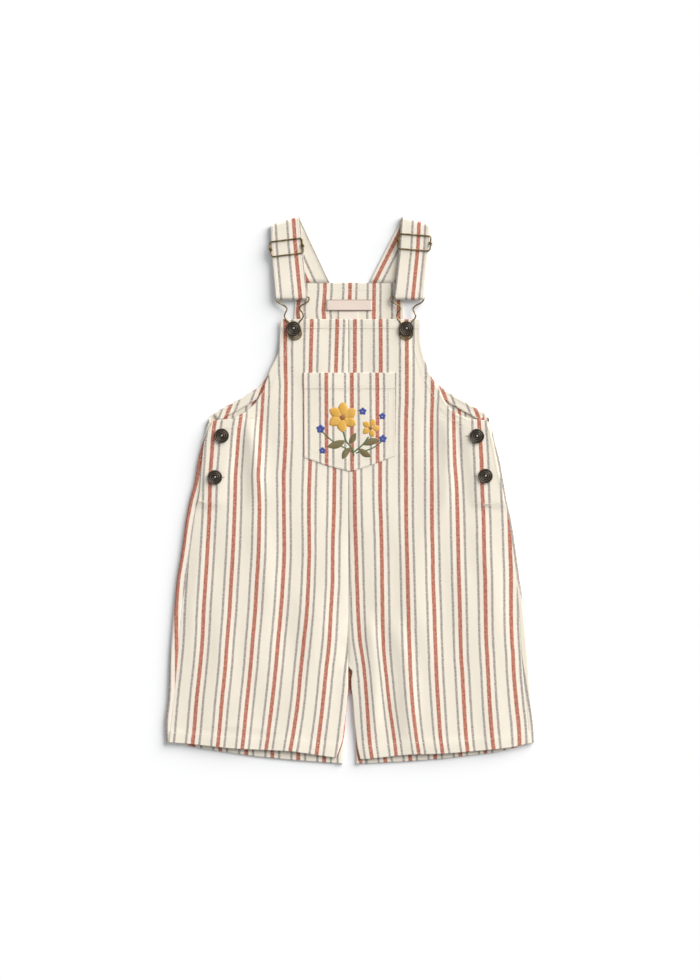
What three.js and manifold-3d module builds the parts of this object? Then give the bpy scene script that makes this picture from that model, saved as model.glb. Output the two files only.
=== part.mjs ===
// Child's bib overalls with short legs, in striped cotton canvas, laid flat on their back.
// Millimetres. +X is the wearer's left, +Y runs up the garment and +Z up off the surface it lies on.
// Heights ("up") are measured from the lowest point of the hems, and "out" from the middle line.

import * as THREE from 'three';
import { mergeVertices } from 'three/addons/utils/BufferGeometryUtils.js';
import Module from 'manifold-3d';

const wasm = await Module();
wasm.setup();

// Driving sizes
const LENGTH = 557.7;
const CLOTH = 1.2;
const GAP = 0.3;
const FOLD_RADIUS = 1.5;
const CENTRE_FRONT = -1.8;
const UNDERLAP = 20;
const FACING_WIDTH = 9;
const PUFF_LEG = 1.1;
const PUFF_BIB = 0.3;
const HEM_EXTRA = 0.6;
const HEM_WIDTH = 10;
const STRAP = 1.6;
const WIRE = 0.8;
const BUTTON_RADIUS = 7;
const SHANK_RADIUS = 2.4;
const LABEL = 0.8;

// Levels of the middle of each ply above the surface
const BACK_Z = CLOTH / 2;
const WRAP_Z = BACK_Z + 2 * FOLD_RADIUS;
const PLACKET_LIFT = CLOTH + GAP;
const STRAP_BACK_Z = STRAP / 2;
const STRAP_RETURN_Z = STRAP_BACK_Z + STRAP + GAP;
const STRAP_FRONT_Z = STRAP_RETURN_Z + STRAP + GAP;
const LOOP_RADIUS = WIRE + GAP + STRAP / 2;
const LOOP_RETURN_Z = CLOTH + GAP + STRAP / 2;
const LOOP_Z = LOOP_RETURN_Z + LOOP_RADIUS;

// Heights where the cut changes
const HEM_ROW = 20.7;
const HEM_REACH = 90;
const PLACKET_FOOT = 267;
const PLACKET_TOP = 348.8;

const table = (columns, rows) =>
  rows.map((row) => Object.fromEntries(columns.map((name, i) => [name, row[i]])));

// Outline of the back: side fold, armhole and bib edge
const BACK_EDGE = table(['up', 'left', 'right'], [
  [20.7, 187.7, 188.2],
  [39, 188.4, 187.4],
  [65, 185.6, 185.1],
  [105, 183.6, 182.1],
  [146, 180.5, 178.5],
  [187, 176.5, 173.4],
  [218, 171.4, 169.3],
  [248, 167.3, 164.7],
  [269, 163.2, 160.1],
  [289, 158.1, 156.6],
  [309, 155.0, 153.0],
  [330, 149.9, 147.4],
  [340, 146.9, 145.4],
  [349, 144.8, 143.1],
  [353, 142.8, 141.0],
  [361, 132.0, 131.0],
  [367.5, 119.5, 119.5],
  [377.5, 102.6, 102.5],
  [386, 91.0, 90.5],
  [392, 86.7, 85.5],
  [419.5, 67.3, 68.3],
  [452, 61.2, 62.2],
  [489.9, 56.1, 53.6],
]);

// Outer edge of the front: side seam, side opening, armhole and bib edge
const FRONT_EDGE = table(['up', 'left', 'right'], [
  [20.7, 184.1, 184.6],
  [39, 182.6, 181.5],
  [65, 179.9, 177.5],
  [75, 178.6, 172.5],
  [116, 174.9, 171.8],
  [157, 171.8, 170.6],
  [187, 166.8, 168.6],
  [218, 162.8, 165.3],
  [248, 158.8, 161.8],
  [259, 157.3, 159.5],
  [267, 154.9, 157.5],
  [278, 153.0, 155.5],
  [303, 151.0, 150.4],
  [330, 147.9, 145.2],
  [340, 144.4, 142.6],
  [348.8, 139.7, 139.7],
  [349.6, 136.7, 137.5],
  [351.2, 119.5, 121.5],
  [357, 108.4, 107.5],
  [361, 103.0, 103.0],
  [368, 95.8, 97.5],
  [385, 87.0, 88.0],
  [400, 81.6, 80.0],
  [420, 72.9, 73.6],
  [432, 71.4, 71.6],
  [452.7, 70.4, 71.2],
]);

// Fold of the back round the inside leg
const LEG_FOLD = table(['up', 'left', 'right'], [
  [20.7, 7.1, 6.1],
  [40, 6.0, 4.4],
  [64.6, 2.8, 3.0],
  [72, 2.0, 2.0],
  [76, 1.0, 1.0],
  [80, 0.15, 0.15],
]);

// Inner edge of the front: inside-leg seam, then centre-front seam
const FRONT_INNER = table(['up', 'left', 'right'], [
  [20.7, 12.0, 11.0],
  [30, 9.5, 8.4],
  [40, 8.8, 7.2],
  [64.6, 5.4, 5.6],
  [72, 4.6, 4.6],
  [80, 3.6, 3.2],
  [90, 2.8, 2.4],
  [99.2, 1.95, -1.65],
]);

// Height of the four hem edges across each leg
const HEMS = table(['out', 'frontleft', 'frontright', 'backleft', 'backright'], [
  [6, 5.5, 4.6, 0, 0],
  [20, 7.0, 5.2, 1.0, 0.6],
  [60, 13.0, 9.6, 4.0, 2.6],
  [95, 14.6, 10.5, 7.5, 5.3],
  [120, 15.8, 12.5, 11.0, 8.3],
  [150, 19.0, 15.2, 15.5, 11.8],
  [165, 20.5, 17.0, 18.5, 15.5],
  [180, 21.6, 20.4, 21.6, 20.4],
  [188, 21.9, 21.9, 21.9, 21.9],
]);

// Sections of the back: how far the cloth turns up at the side and the inside leg, and how it laps
const BACK_ROWS = table(['up', 'sideTurn', 'legTurn', 'lap'], [
  [20.7, 180, 180, false],
  [39, 180, 180, false],
  [65, 180, 180, false],
  [72, 180, 180, false],
  [75, 180, 110, false],
  [77, 180, 50, false],
  [80, 180, 0, false],
  [116, 180, 0, false],
  [157, 180, 0, false],
  [187, 180, 0, false],
  [218, 180, 0, false],
  [248, 180, 0, false],
  [259, 180, 0, false],
  [267, 180, 0, false],
  [269, 180, 0, true],
  [289, 180, 0, true],
  [309, 180, 0, true],
  [330, 180, 0, true],
  [340, 180, 0, true],
  [346, 180, 0, true],
  [347.4, 180, 0, false],
  [349, 110, 0, false],
  [350.5, 50, 0, false],
  [353, 0, 0, false],
  [361, 0, 0, false],
  [367.5, 0, 0, false],
  [377.5, 0, 0, false],
  [386, 0, 0, false],
  [392, 0, 0, false],
  [419.5, 0, 0, false],
  [452, 0, 0, false],
  [489.9, 0, 0, false],
]);

// Heights of the sections of the front
const FRONT_ROWS = [
  20.7, 32, 33.5, 39, 52, 65, 72, 75, 80, 90, 99.2, 116, 136, 157, 187, 218, 248, 259, 267, 278,
  290, 303, 318, 330, 340, 348.8, 349.6, 351.2, 354, 357, 361, 368, 376, 385, 400, 420, 432, 452.7,
];
const FRONT_COLUMNS = 16;
const BACK_COLUMNS = 5;
const TURN_STEPS = 5;
const RUN_STEPS = 2;

// Soft vertical creases of the fronts: top and foot of the ridge, its half width and its rise
const CREASES = table(['fromX', 'fromUp', 'toX', 'toUp', 'width', 'rise'], [
  [-100, 352, -99, 262, 9, 1.5],
  [95, 356, 94, 258, 9, 1.5],
  [-96, 268, -86, 170, 11, 0.8],
  [60, 168, 40, 60, 10, 1.2],
  [32, 150, 14, 90, 8, 0.9],
  [-20, 130, -38, 45, 10, 0.9],
  [-130, 190, -142, 60, 11, 0.7],
  [128, 200, 139, 70, 12, 0.9],
]);

// Patch pocket: its columns from the left edge to the right, with the height of the foot
const POCKET_TOP = 398.1;
const POCKET_HEM = 16;
const POCKET = table(['topX', 'footX', 'foot'], [
  [-47.9, -46.7, 312.2],
  [-23.9, -23.8, 303.9],
  [0.5, 0.5, 297.6],
  [21.0, 20.7, 303.8],
  [47.3, 46.1, 313.9],
]);
const POCKET_COLUMNS = 8;
const POCKET_ROWS = [0, 0.2, 0.4, 0.6, 0.8, 0.83, 1];

// Straps: where each edge leaves the back bib, turns over at the shoulder, and passes slider and clip
const STRAPS = {
  left: {
    sign: -1,
    sewn: [[-56.1, 490.2], [-20.9, 490.2]],
    shoulder: [[-80.0, 546.3], [-51.0, 555.0]],
    slider: [[-79.4, 525.0], [-49.0, 527.0]],
    belowSlider: [[-78.6, 512.0], [-47.4, 512.0]],
    loop: [[-74.9, 475.3], [-44.0, 475.3]],
    returnEnd: [[-79.0, 521.0], [-48.2, 523.0]],
    sliderCentre: [-64.3, 525.8],
    sliderTilt: 7,
  },
  right: {
    sign: 1,
    sewn: [[53.6, 490.2], [19.9, 490.2]],
    shoulder: [[80.3, 546.3], [51.3, 555.0]],
    slider: [[80.4, 529.6], [50.0, 531.6]],
    belowSlider: [[79.2, 517.0], [48.4, 517.0]],
    loop: [[75.1, 475.3], [44.2, 475.3]],
    returnEnd: [[79.8, 526.5], [49.4, 527.5]],
    sliderCentre: [65.2, 531.0],
    sliderTilt: -4.5,
  },
};
const SLIDER_HALF_WIDTH = 16.4;
const SLIDER_HALF_HEIGHT = 7.6;
const SLIDER_CORNER = 3;

// Bib buttons, and the half of the clip's wire route about its button: across and up
const BIB_BUTTON = { out: 57.5, up: 443.3 };
const CLIP_BAR_UP = 32;
const CLIP_ROUTE = table(['across', 'up'], [
  [-18.7, 32.0],
  [-18.8, 28.6],
  [-15.0, 25.6],
  [-8.4, 22.4],
  [-6.6, 18.8],
  [-9.3, 14.2],
  [-9.0, 10.4],
  [-5.4, 6.6],
  [-6.4, 1.8],
  [-8.4, -3.0],
  [-6.0, -8.9],
  [0.6, -11.6],
  [7.2, -8.6],
  [9.2, -3.0],
  [7.0, 2.0],
  [5.6, 6.6],
  [9.2, 10.6],
  [8.9, 15.4],
  [6.2, 20.0],
  [8.4, 24.2],
  [13.4, 26.6],
  [14.6, 29.0],
  [14.5, 32.0],
]);

const SIDE_BUTTONS = {
  left_top: [-130.6, 334.1],
  left_low: [-137.4, 291.8],
  right_top: [129.2, 333.7],
  right_low: [137.9, 293.1],
};

// Inside the back bib: left and right edge, foot and top
const NECK_LABEL = [-24.0, 22.4, 461.8, 472.8];
const CARE_LABEL = [-11.6, 8.2, 440.0, 461.5];

const cloth = new THREE.MeshStandardMaterial({ color: 0xefe8da, roughness: 0.9, metalness: 0 });
const brass = new THREE.MeshStandardMaterial({ color: 0x9a8560, roughness: 0.4, metalness: 1 });
const bronze = new THREE.MeshStandardMaterial({ color: 0x4a4038, roughness: 0.45, metalness: 1 });
const ribbon = new THREE.MeshStandardMaterial({ color: 0xe6d2c6, roughness: 0.8, metalness: 0 });

const overalls = new THREE.Group();
overalls.position.y = -LENGTH / 2;

function addPiece(name, geometry, material) {
  const mesh = new THREE.Mesh(facingOut(geometry), material.clone());
  mesh.name = name;
  overalls.add(mesh);
  return mesh;
}

// Value of a column where the key column has the given value, straight between rows
function lookup(rows, key, column, value) {
  const next = rows.findIndex((row) => row[key] >= value);
  if (next === 0) {
    return rows[0][column];
  }
  if (next < 0) {
    return rows[rows.length - 1][column];
  }
  const low = rows[next - 1];
  const high = rows[next];
  const share = (value - low[key]) / (high[key] - low[key]);
  return low[column] + share * (high[column] - low[column]);
}

// 0 at "from" and 1 at "to", whichever is the larger
function smooth(from, to, value) {
  const share = Math.min(1, Math.max(0, (value - from) / (to - from)));
  return share * share * (3 - 2 * share);
}

// Closed body with its vertices merged and its faces turned outwards
function facingOut(source) {
  const bare = source.clone();
  bare.deleteAttribute('normal');
  bare.deleteAttribute('uv');
  const geometry = mergeVertices(bare, 1e-4);
  const corner = [new THREE.Vector3(), new THREE.Vector3(), new THREE.Vector3()];
  const index = geometry.index.array;
  const position = geometry.attributes.position;
  let volume = 0;
  for (let i = 0; i < index.length; i += 3) {
    corner.forEach((point, k) => point.fromBufferAttribute(position, index[i + k]));
    volume += corner[0].dot(corner[1].clone().cross(corner[2]));
  }
  if (volume < 0) {
    index.reverse();
  }
  geometry.computeVertexNormals();
  return geometry;
}

// Wall of cloth about a grid of points { at, normal, extra }: extra thickens the side of the normal
function wall(grid, thickness) {
  const rows = grid.length;
  const columns = grid[0].length;
  const layer = rows * columns;
  const vertices = [];
  for (const side of [1, -1]) {
    for (const point of grid.flat()) {
      const reach = side * (thickness / 2) + (side > 0 ? point.extra || 0 : 0);
      vertices.push(...point.at.clone().addScaledVector(point.normal, reach).toArray());
    }
  }
  const faces = [];
  const quad = (a, b, c, d) => faces.push(a, b, c, a, c, d);
  const index = (r, c) => r * columns + c;
  for (let r = 0; r + 1 < rows; r += 1) {
    for (let c = 0; c + 1 < columns; c += 1) {
      quad(index(r, c), index(r, c + 1), index(r + 1, c + 1), index(r + 1, c));
      quad(
        layer + index(r + 1, c),
        layer + index(r + 1, c + 1),
        layer + index(r, c + 1),
        layer + index(r, c),
      );
    }
  }
  const rim = [];
  for (let c = 0; c + 1 < columns; c += 1) {
    rim.push(index(0, c));
  }
  for (let r = 0; r + 1 < rows; r += 1) {
    rim.push(index(r, columns - 1));
  }
  for (let c = columns - 1; c > 0; c -= 1) {
    rim.push(index(rows - 1, c));
  }
  for (let r = rows - 1; r > 0; r -= 1) {
    rim.push(index(r, 0));
  }
  rim.forEach((here, i) => {
    const next = rim[(i + 1) % rim.length];
    quad(next, here, here + layer, next + layer);
  });
  const geometry = new THREE.BufferGeometry();
  geometry.setAttribute('position', new THREE.Float32BufferAttribute(vertices, 3));
  geometry.setIndex(faces);
  return geometry;
}

// Grid row from a section: points { out, z } with a normal in the plane of the section
function sectionRow(points, sign, heightAt, extra = 0) {
  return points.map((point, i) => {
    const before = points[Math.max(0, i - 1)];
    const after = points[Math.min(points.length - 1, i + 1)];
    const run = after.out - before.out;
    const climb = after.z - before.z;
    const length = Math.hypot(run, climb);
    return {
      at: new THREE.Vector3(sign * point.out, heightAt(point.out), point.z),
      normal: new THREE.Vector3((sign * climb) / length, 0, -run / length),
      extra,
    };
  });
}

// Rows near the hem follow its slope and straighten higher up the leg
function hemHeight(line, out, up) {
  if (up >= HEM_REACH) {
    return up;
  }
  const hem = lookup(HEMS, 'out', line, out);
  return hem + ((up - HEM_ROW) * (HEM_REACH - hem)) / (HEM_REACH - HEM_ROW);
}

// Level of the middle of the front ply
function frontLevel(x, up) {
  const side = x < CENTRE_FRONT ? 'left' : 'right';
  const out = Math.abs(x);
  const inner = lookup(FRONT_INNER, 'up', side, up);
  const outer = lookup(FRONT_EDGE, 'up', side, up);
  const share = Math.min(1, Math.max(0, (out - inner) / (outer - inner)));
  const puff = PUFF_LEG + (PUFF_BIB - PUFF_LEG) * smooth(230, 330, up);
  const edge = lookup(BACK_EDGE, 'up', side, up);
  const lapped = smooth(edge - 42, edge - 27, out);
  const opening = smooth(PLACKET_FOOT - 8, PLACKET_FOOT, up) * smooth(366, PLACKET_TOP + 3, up);
  const lift = lapped * opening * PLACKET_LIFT;
  const inset = smooth(0, 12, (1 - share) * (outer - inner));
  return WRAP_Z + puff * Math.sin(Math.PI * share) + lift + inset * creaseRise(x, up);
}

function creaseRise(x, up) {
  let rise = 0;
  for (const crease of CREASES) {
    const share = (up - crease.fromUp) / (crease.toUp - crease.fromUp);
    const middle = crease.fromX + share * (crease.toX - crease.fromX);
    const fade = smooth(0, 0.2, share) * smooth(1, 0.7, share);
    const across = (x - middle) / crease.width;
    rise = Math.max(rise, crease.rise * fade * Math.exp(-across * across));
  }
  return rise;
}

// Front: bib and leg cut in one
function frontPanel(side, sign) {
  const grid = FRONT_ROWS.map((up) => {
    const inner = lookup(FRONT_INNER, 'up', side, up);
    const outer = lookup(FRONT_EDGE, 'up', side, up);
    const section = Array.from({ length: FRONT_COLUMNS + 1 }, (_, i) => {
      const out = outer + (i / FRONT_COLUMNS) * (inner - outer);
      return { out, z: frontLevel(sign * out, up) };
    });
    const hemmed = up < HEM_ROW + HEM_WIDTH + 2 ? HEM_EXTRA : 0;
    return sectionRow(section, sign, (out) => hemHeight('front' + side, out, up), hemmed);
  });
  return wall(grid, CLOTH);
}

// Cloth that turns up from the surface: an arc of the given turn and a straight run after it.
// "edge" is the furthest reach of its middle, "way" is 1 outwards and -1 inwards.
function turnUp(edge, way, turn, run) {
  const angle = THREE.MathUtils.degToRad(turn);
  const reach =
    turn >= 90 ? FOLD_RADIUS : FOLD_RADIUS * Math.sin(angle) + run * Math.cos(angle);
  const start = edge - way * reach;
  const points = [];
  for (let i = 0; i <= TURN_STEPS; i += 1) {
    const part = (angle * i) / TURN_STEPS;
    const flat = turn > 0 ? 0 : (run * i) / (TURN_STEPS + RUN_STEPS);
    points.push({
      out: start + way * (FOLD_RADIUS * Math.sin(part) + flat),
      z: BACK_Z + FOLD_RADIUS * (1 - Math.cos(part)),
    });
  }
  const end = points[TURN_STEPS];
  const left = turn > 0 ? run : (run * RUN_STEPS) / (TURN_STEPS + RUN_STEPS);
  for (let i = 1; i <= RUN_STEPS; i += 1) {
    const along = (left * i) / RUN_STEPS;
    points.push({
      out: end.out + way * along * Math.cos(angle),
      z: end.z + along * Math.sin(angle),
    });
  }
  return points;
}

// Straight run of the cloth after its turn at the side
function sideRun(side, row) {
  if (row.sideTurn === 0) {
    return 4;
  }
  if (row.lap) {
    return UNDERLAP;
  }
  if (row.up > PLACKET_FOOT + 5) {
    return 0.6;
  }
  const fold = lookup(BACK_EDGE, 'up', side, row.up) - CLOTH / 2 - FOLD_RADIUS;
  return fold - lookup(FRONT_EDGE, 'up', side, row.up) - 1.2 * GAP;
}

// Back: bib and leg cut in one, turned up round the side and the inside leg
function backPanel(side, sign) {
  const grid = BACK_ROWS.map((row) => {
    const sideEdge = lookup(BACK_EDGE, 'up', side, row.up) - CLOTH / 2;
    const outward = turnUp(sideEdge, 1, row.sideTurn, sideRun(side, row));
    const legFold = lookup(LEG_FOLD, 'up', side, row.up);
    const legEdge = legFold + (row.legTurn > 0 ? CLOTH / 2 : 0);
    const inward = turnUp(legEdge, -1, row.legTurn, row.legTurn > 0 ? 0.1 : 3).reverse();
    const from = inward[inward.length - 1].out;
    const to = outward[0].out;
    const floor = Array.from({ length: BACK_COLUMNS - 1 }, (_, i) => ({
      out: from + ((i + 1) / BACK_COLUMNS) * (to - from),
      z: BACK_Z,
    }));
    const section = [...inward, ...floor, ...outward];
    return sectionRow(section, sign, (out) => hemHeight('back' + side, out, row.up));
  });
  return wall(grid, CLOTH);
}

const UP = new THREE.Vector3(0, 0, 1);

// Facing along the back armhole, on the inside of the back
function backFacing(side, sign) {
  const stations = BACK_EDGE.filter((row) => row.up > 355 && row.up < 430).map((row) => row.up);
  const heights = [356.5, ...stations];
  const grid = heights.map((up) => {
    const edge = lookup(BACK_EDGE, 'up', side, up);
    const slope = lookup(BACK_EDGE, 'up', side, up + 2) - lookup(BACK_EDGE, 'up', side, up - 2);
    const length = Math.hypot(slope, 4);
    const inward = [-4 / length, slope / length];
    return [0.8, 0.8 + FACING_WIDTH / 2, 0.8 + FACING_WIDTH].map((depth) => ({
      at: new THREE.Vector3(
        sign * (edge + depth * inward[0]),
        up + depth * inward[1],
        BACK_Z + CLOTH + GAP,
      ),
      normal: UP,
    }));
  });
  return wall(grid, CLOTH);
}

// Pocket: the points of the bib under it, moved out
function chestPocket() {
  const grid = POCKET_ROWS.map((share) =>
    Array.from({ length: POCKET_COLUMNS + 1 }, (_, i) => {
      const column = POCKET.map((row, k) => ({ ...row, k: k * (POCKET_COLUMNS / 4) }));
      const foot = lookup(column, 'k', 'foot', i);
      const footX = lookup(column, 'k', 'footX', i);
      const topX = lookup(column, 'k', 'topX', i);
      const x = footX + share * (topX - footX);
      const up = foot + share * (POCKET_TOP - foot);
      const level = frontLevel(x, up) + CLOTH + GAP;
      const hemmed = up > POCKET_TOP - POCKET_HEM;
      return { at: new THREE.Vector3(x, up, level), normal: UP, extra: hemmed ? 0.4 : 0 };
    }),
  );
  return wall(grid, CLOTH);
}

// Flat label inside the back bib
function labelPatch([leftX, rightX, foot, top]) {
  const level = CLOTH + GAP + LABEL / 2;
  const grid = [foot, top].map((up) =>
    [leftX, rightX].map((x) => ({ at: new THREE.Vector3(x, up, level), normal: UP })),
  );
  return wall(grid, LABEL);
}

// Strap: back run, turn at the shoulder, front run, loop round the clip's bar, and return ply
function strap(shape) {
  const stations = [];
  const place = ([a, b], z, push = [0, 0]) =>
    stations.push([a, b].map(([x, up]) => new THREE.Vector3(x + push[0], up + push[1], z)));
  const between = (from, to, share) =>
    from.map((point, i) => point.map((value, k) => value + share * (to[i][k] - value)));
  const turnOver = (axis, radius, middle, way, fromAngle) => {
    const along = [axis[1][0] - axis[0][0], axis[1][1] - axis[0][1]];
    const length = Math.hypot(...along);
    const side = way * Math.sign(along[0]);
    const outwards = [(-along[1] * side) / length, (along[0] * side) / length];
    for (let i = 0; i <= 6; i += 1) {
      const angle = fromAngle + (Math.PI * i) / 6;
      const push = radius * Math.abs(Math.sin(angle));
      place(axis, middle - radius * Math.cos(angle), outwards.map((value) => value * push));
    }
  };
  const shoulderRadius = (STRAP_FRONT_Z - STRAP_BACK_Z) / 2;
  place(shape.sewn, STRAP_BACK_Z);
  place(between(shape.sewn, shape.shoulder, 0.5), STRAP_BACK_Z);
  turnOver(shape.shoulder, shoulderRadius, STRAP_BACK_Z + shoulderRadius, 1, 0);
  place(shape.slider, STRAP_FRONT_Z);
  place(shape.belowSlider, STRAP_FRONT_Z);
  place(between(shape.belowSlider, shape.loop, 0.6), STRAP_FRONT_Z + 1);
  turnOver(shape.loop, LOOP_RADIUS, LOOP_Z, -1, Math.PI);
  place(between(shape.loop, shape.belowSlider, 0.3), LOOP_RETURN_Z + 0.2);
  place(between(shape.loop, shape.belowSlider, 0.5), STRAP_RETURN_Z);
  place(shape.returnEnd, STRAP_RETURN_Z);
  const grid = stations.map((pair, i) => {
    const before = stations[Math.max(0, i - 1)][0];
    const after = stations[Math.min(stations.length - 1, i + 1)][0];
    const along = after.clone().sub(before);
    const normal = pair[1].clone().sub(pair[0]).cross(along).normalize();
    return pair.map((at) => ({ at, normal }));
  });
  return wall(grid, STRAP);
}

// Round wire along a smooth route
function wire(points, steps) {
  const sides = 6;
  const section = new THREE.Shape(
    Array.from({ length: sides }, (_, i) => {
      const angle = (2 * Math.PI * i) / sides;
      return new THREE.Vector2(WIRE * Math.cos(angle), WIRE * Math.sin(angle));
    }),
  );
  const route = new THREE.CatmullRomCurve3(points, false, 'centripetal');
  return new THREE.ExtrudeGeometry(section, { steps, extrudePath: route, bevelEnabled: false });
}

function roundedRectangle(target, halfWidth, halfHeight, radius) {
  target.absarc(halfWidth - radius, halfHeight - radius, radius, 0, Math.PI / 2);
  target.absarc(radius - halfWidth, halfHeight - radius, radius, Math.PI / 2, Math.PI);
  target.absarc(radius - halfWidth, radius - halfHeight, radius, Math.PI, 1.5 * Math.PI);
  target.absarc(halfWidth - radius, radius - halfHeight, radius, 1.5 * Math.PI, 2 * Math.PI);
  return target;
}

function toManifold(source) {
  const geometry = facingOut(source);
  return new wasm.Manifold(
    new wasm.Mesh({
      numProp: 3,
      vertProperties: new Float32Array(geometry.attributes.position.array),
      triVerts: new Uint32Array(geometry.index.array),
    }),
  );
}

function fromManifold(solid) {
  const mesh = solid.getMesh();
  const geometry = new THREE.BufferGeometry();
  geometry.setAttribute('position', new THREE.Float32BufferAttribute(mesh.vertProperties, 3));
  geometry.setIndex(Array.from(mesh.triVerts));
  return geometry;
}

// Slider: a wire frame over the strap, a bar under it and a nub at each end of the bar
function sliderBuckle() {
  const half = WIRE / 2;
  const outline = roundedRectangle(
    new THREE.Shape(),
    SLIDER_HALF_WIDTH + half,
    SLIDER_HALF_HEIGHT + half,
    SLIDER_CORNER,
  );
  const inside = roundedRectangle(
    new THREE.Path(),
    SLIDER_HALF_WIDTH - half,
    SLIDER_HALF_HEIGHT - half,
    SLIDER_CORNER - WIRE,
  );
  outline.holes.push(inside);
  const frame = new THREE.ExtrudeGeometry(outline, {
    depth: WIRE,
    curveSegments: 3,
    bevelThickness: half,
    bevelSize: half,
    bevelSegments: 1,
  });
  const frameZ = STRAP_FRONT_Z + STRAP / 2 + GAP + WIRE;
  frame.translate(0, 0, frameZ - half);
  const barRoute = [
    [-SLIDER_HALF_WIDTH, frameZ],
    [-SLIDER_HALF_WIDTH, (frameZ + STRAP_RETURN_Z) / 2],
    [-SLIDER_HALF_WIDTH + 0.5, STRAP_RETURN_Z + 0.15],
    [-SLIDER_HALF_WIDTH + 2, STRAP_RETURN_Z],
    [SLIDER_HALF_WIDTH - 2, STRAP_RETURN_Z],
    [SLIDER_HALF_WIDTH - 0.5, STRAP_RETURN_Z + 0.15],
    [SLIDER_HALF_WIDTH, (frameZ + STRAP_RETURN_Z) / 2],
    [SLIDER_HALF_WIDTH, frameZ],
  ];
  let solid = toManifold(frame).add(
    toManifold(wire(barRoute.map(([x, z]) => new THREE.Vector3(x, 0, z)), 18)),
  );
  for (const end of [-1, 1]) {
    const nub = new THREE.CylinderGeometry(1.35 * WIRE, 1.35 * WIRE, 3.4, 8);
    nub.translate(end * SLIDER_HALF_WIDTH, 0, frameZ);
    solid = solid.add(toManifold(nub));
  }
  return fromManifold(solid);
}

// Clip: one bent wire whose ends meet at the middle of the bar inside the strap's loop
function clip(way) {
  const lyingZ = frontLevel(BIB_BUTTON.out, BIB_BUTTON.up) + CLOTH / 2 + GAP + WIRE;
  const half = (row) => new THREE.Vector3(way * row.across, row.up, level(row.up));
  const level = (up) => lyingZ + (LOOP_Z - lyingZ) * smooth(13, 27, up);
  const middle = (shift) => new THREE.Vector3(way * (shift - 2), CLIP_BAR_UP, LOOP_Z);
  const route = [middle(-GAP), ...CLIP_ROUTE.map(half), middle(GAP)];
  return wire(route, 66);
}

// Tack button with a dished, ringed face and a short shank under it
function tackButton(shankLength) {
  const profile = [
    [0, -shankLength],
    [SHANK_RADIUS, -shankLength],
    [SHANK_RADIUS, 0],
    [BUTTON_RADIUS - 0.7, 0],
    [BUTTON_RADIUS, 0.8],
    [BUTTON_RADIUS - 0.7, 1.9],
    [BUTTON_RADIUS - 1.9, 1.5],
    [2.6, 1.3],
    [1.7, 1.9],
    [0, 2.1],
  ];
  const geometry = new THREE.LatheGeometry(profile.map(([r, z]) => new THREE.Vector2(r, z)), 16);
  return geometry.rotateX(Math.PI / 2);
}

for (const [side, sign] of [['left', -1], ['right', 1]]) {
  addPiece('front_' + side, frontPanel(side, sign), cloth);
  addPiece('back_' + side, backPanel(side, sign), cloth);
  addPiece('back_facing_' + side, backFacing(side, sign), cloth);
}
addPiece('chest_pocket', chestPocket(), cloth);

for (const [side, shape] of Object.entries(STRAPS)) {
  addPiece('strap_' + side, strap(shape), cloth);
  const slider = addPiece('slider_' + side, sliderBuckle(), brass);
  slider.position.set(shape.sliderCentre[0], shape.sliderCentre[1], 0);
  slider.rotation.z = THREE.MathUtils.degToRad(shape.sliderTilt);
  const hook = addPiece('clip_' + side, clip(-shape.sign), brass);
  hook.position.set(shape.sign * BIB_BUTTON.out, BIB_BUTTON.up, 0);
  const shank = 2 * WIRE + GAP;
  const button = addPiece('bib_button_' + side, tackButton(shank), bronze);
  const bibTop = frontLevel(shape.sign * BIB_BUTTON.out, BIB_BUTTON.up) + CLOTH / 2 + GAP;
  button.position.set(shape.sign * BIB_BUTTON.out, BIB_BUTTON.up, bibTop + shank);
}

for (const [place, [x, up]] of Object.entries(SIDE_BUTTONS)) {
  const shank = 0.6;
  const button = addPiece('side_button_' + place, tackButton(shank), bronze);
  button.position.set(x, up, frontLevel(x, up) + CLOTH / 2 + GAP + shank);
}

addPiece('neck_label', labelPatch(NECK_LABEL), ribbon);
addPiece('care_label', labelPatch(CARE_LABEL), ribbon);

export default overalls;
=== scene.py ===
"""Child's bib overalls in striped cotton canvas, laid flat: their looks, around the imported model."""

import math

import bpy
import numpy as np
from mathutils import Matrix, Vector


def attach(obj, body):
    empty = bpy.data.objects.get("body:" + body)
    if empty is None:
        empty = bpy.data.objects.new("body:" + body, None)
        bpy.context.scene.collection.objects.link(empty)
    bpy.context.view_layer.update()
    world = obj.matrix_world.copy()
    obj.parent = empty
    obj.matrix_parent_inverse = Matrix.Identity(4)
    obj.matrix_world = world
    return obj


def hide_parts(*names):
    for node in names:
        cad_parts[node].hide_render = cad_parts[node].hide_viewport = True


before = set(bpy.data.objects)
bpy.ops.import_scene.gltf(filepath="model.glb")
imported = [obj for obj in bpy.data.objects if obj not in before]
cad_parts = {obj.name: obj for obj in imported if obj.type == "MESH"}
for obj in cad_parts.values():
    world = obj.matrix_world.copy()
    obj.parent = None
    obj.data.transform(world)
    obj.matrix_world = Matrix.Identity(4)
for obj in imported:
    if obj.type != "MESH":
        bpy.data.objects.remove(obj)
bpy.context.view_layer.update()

bl_info = {
    "name": "Striped bib overalls",
    "version": (1, 0, 0),
    "blender": (4, 5, 0),
    "location": "3D Viewport > Sidebar > Overalls",
    "description": "Child's bib overalls in striped canvas, laid flat, with their hardware and sewing",
    "category": "Add Mesh",
}

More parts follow.
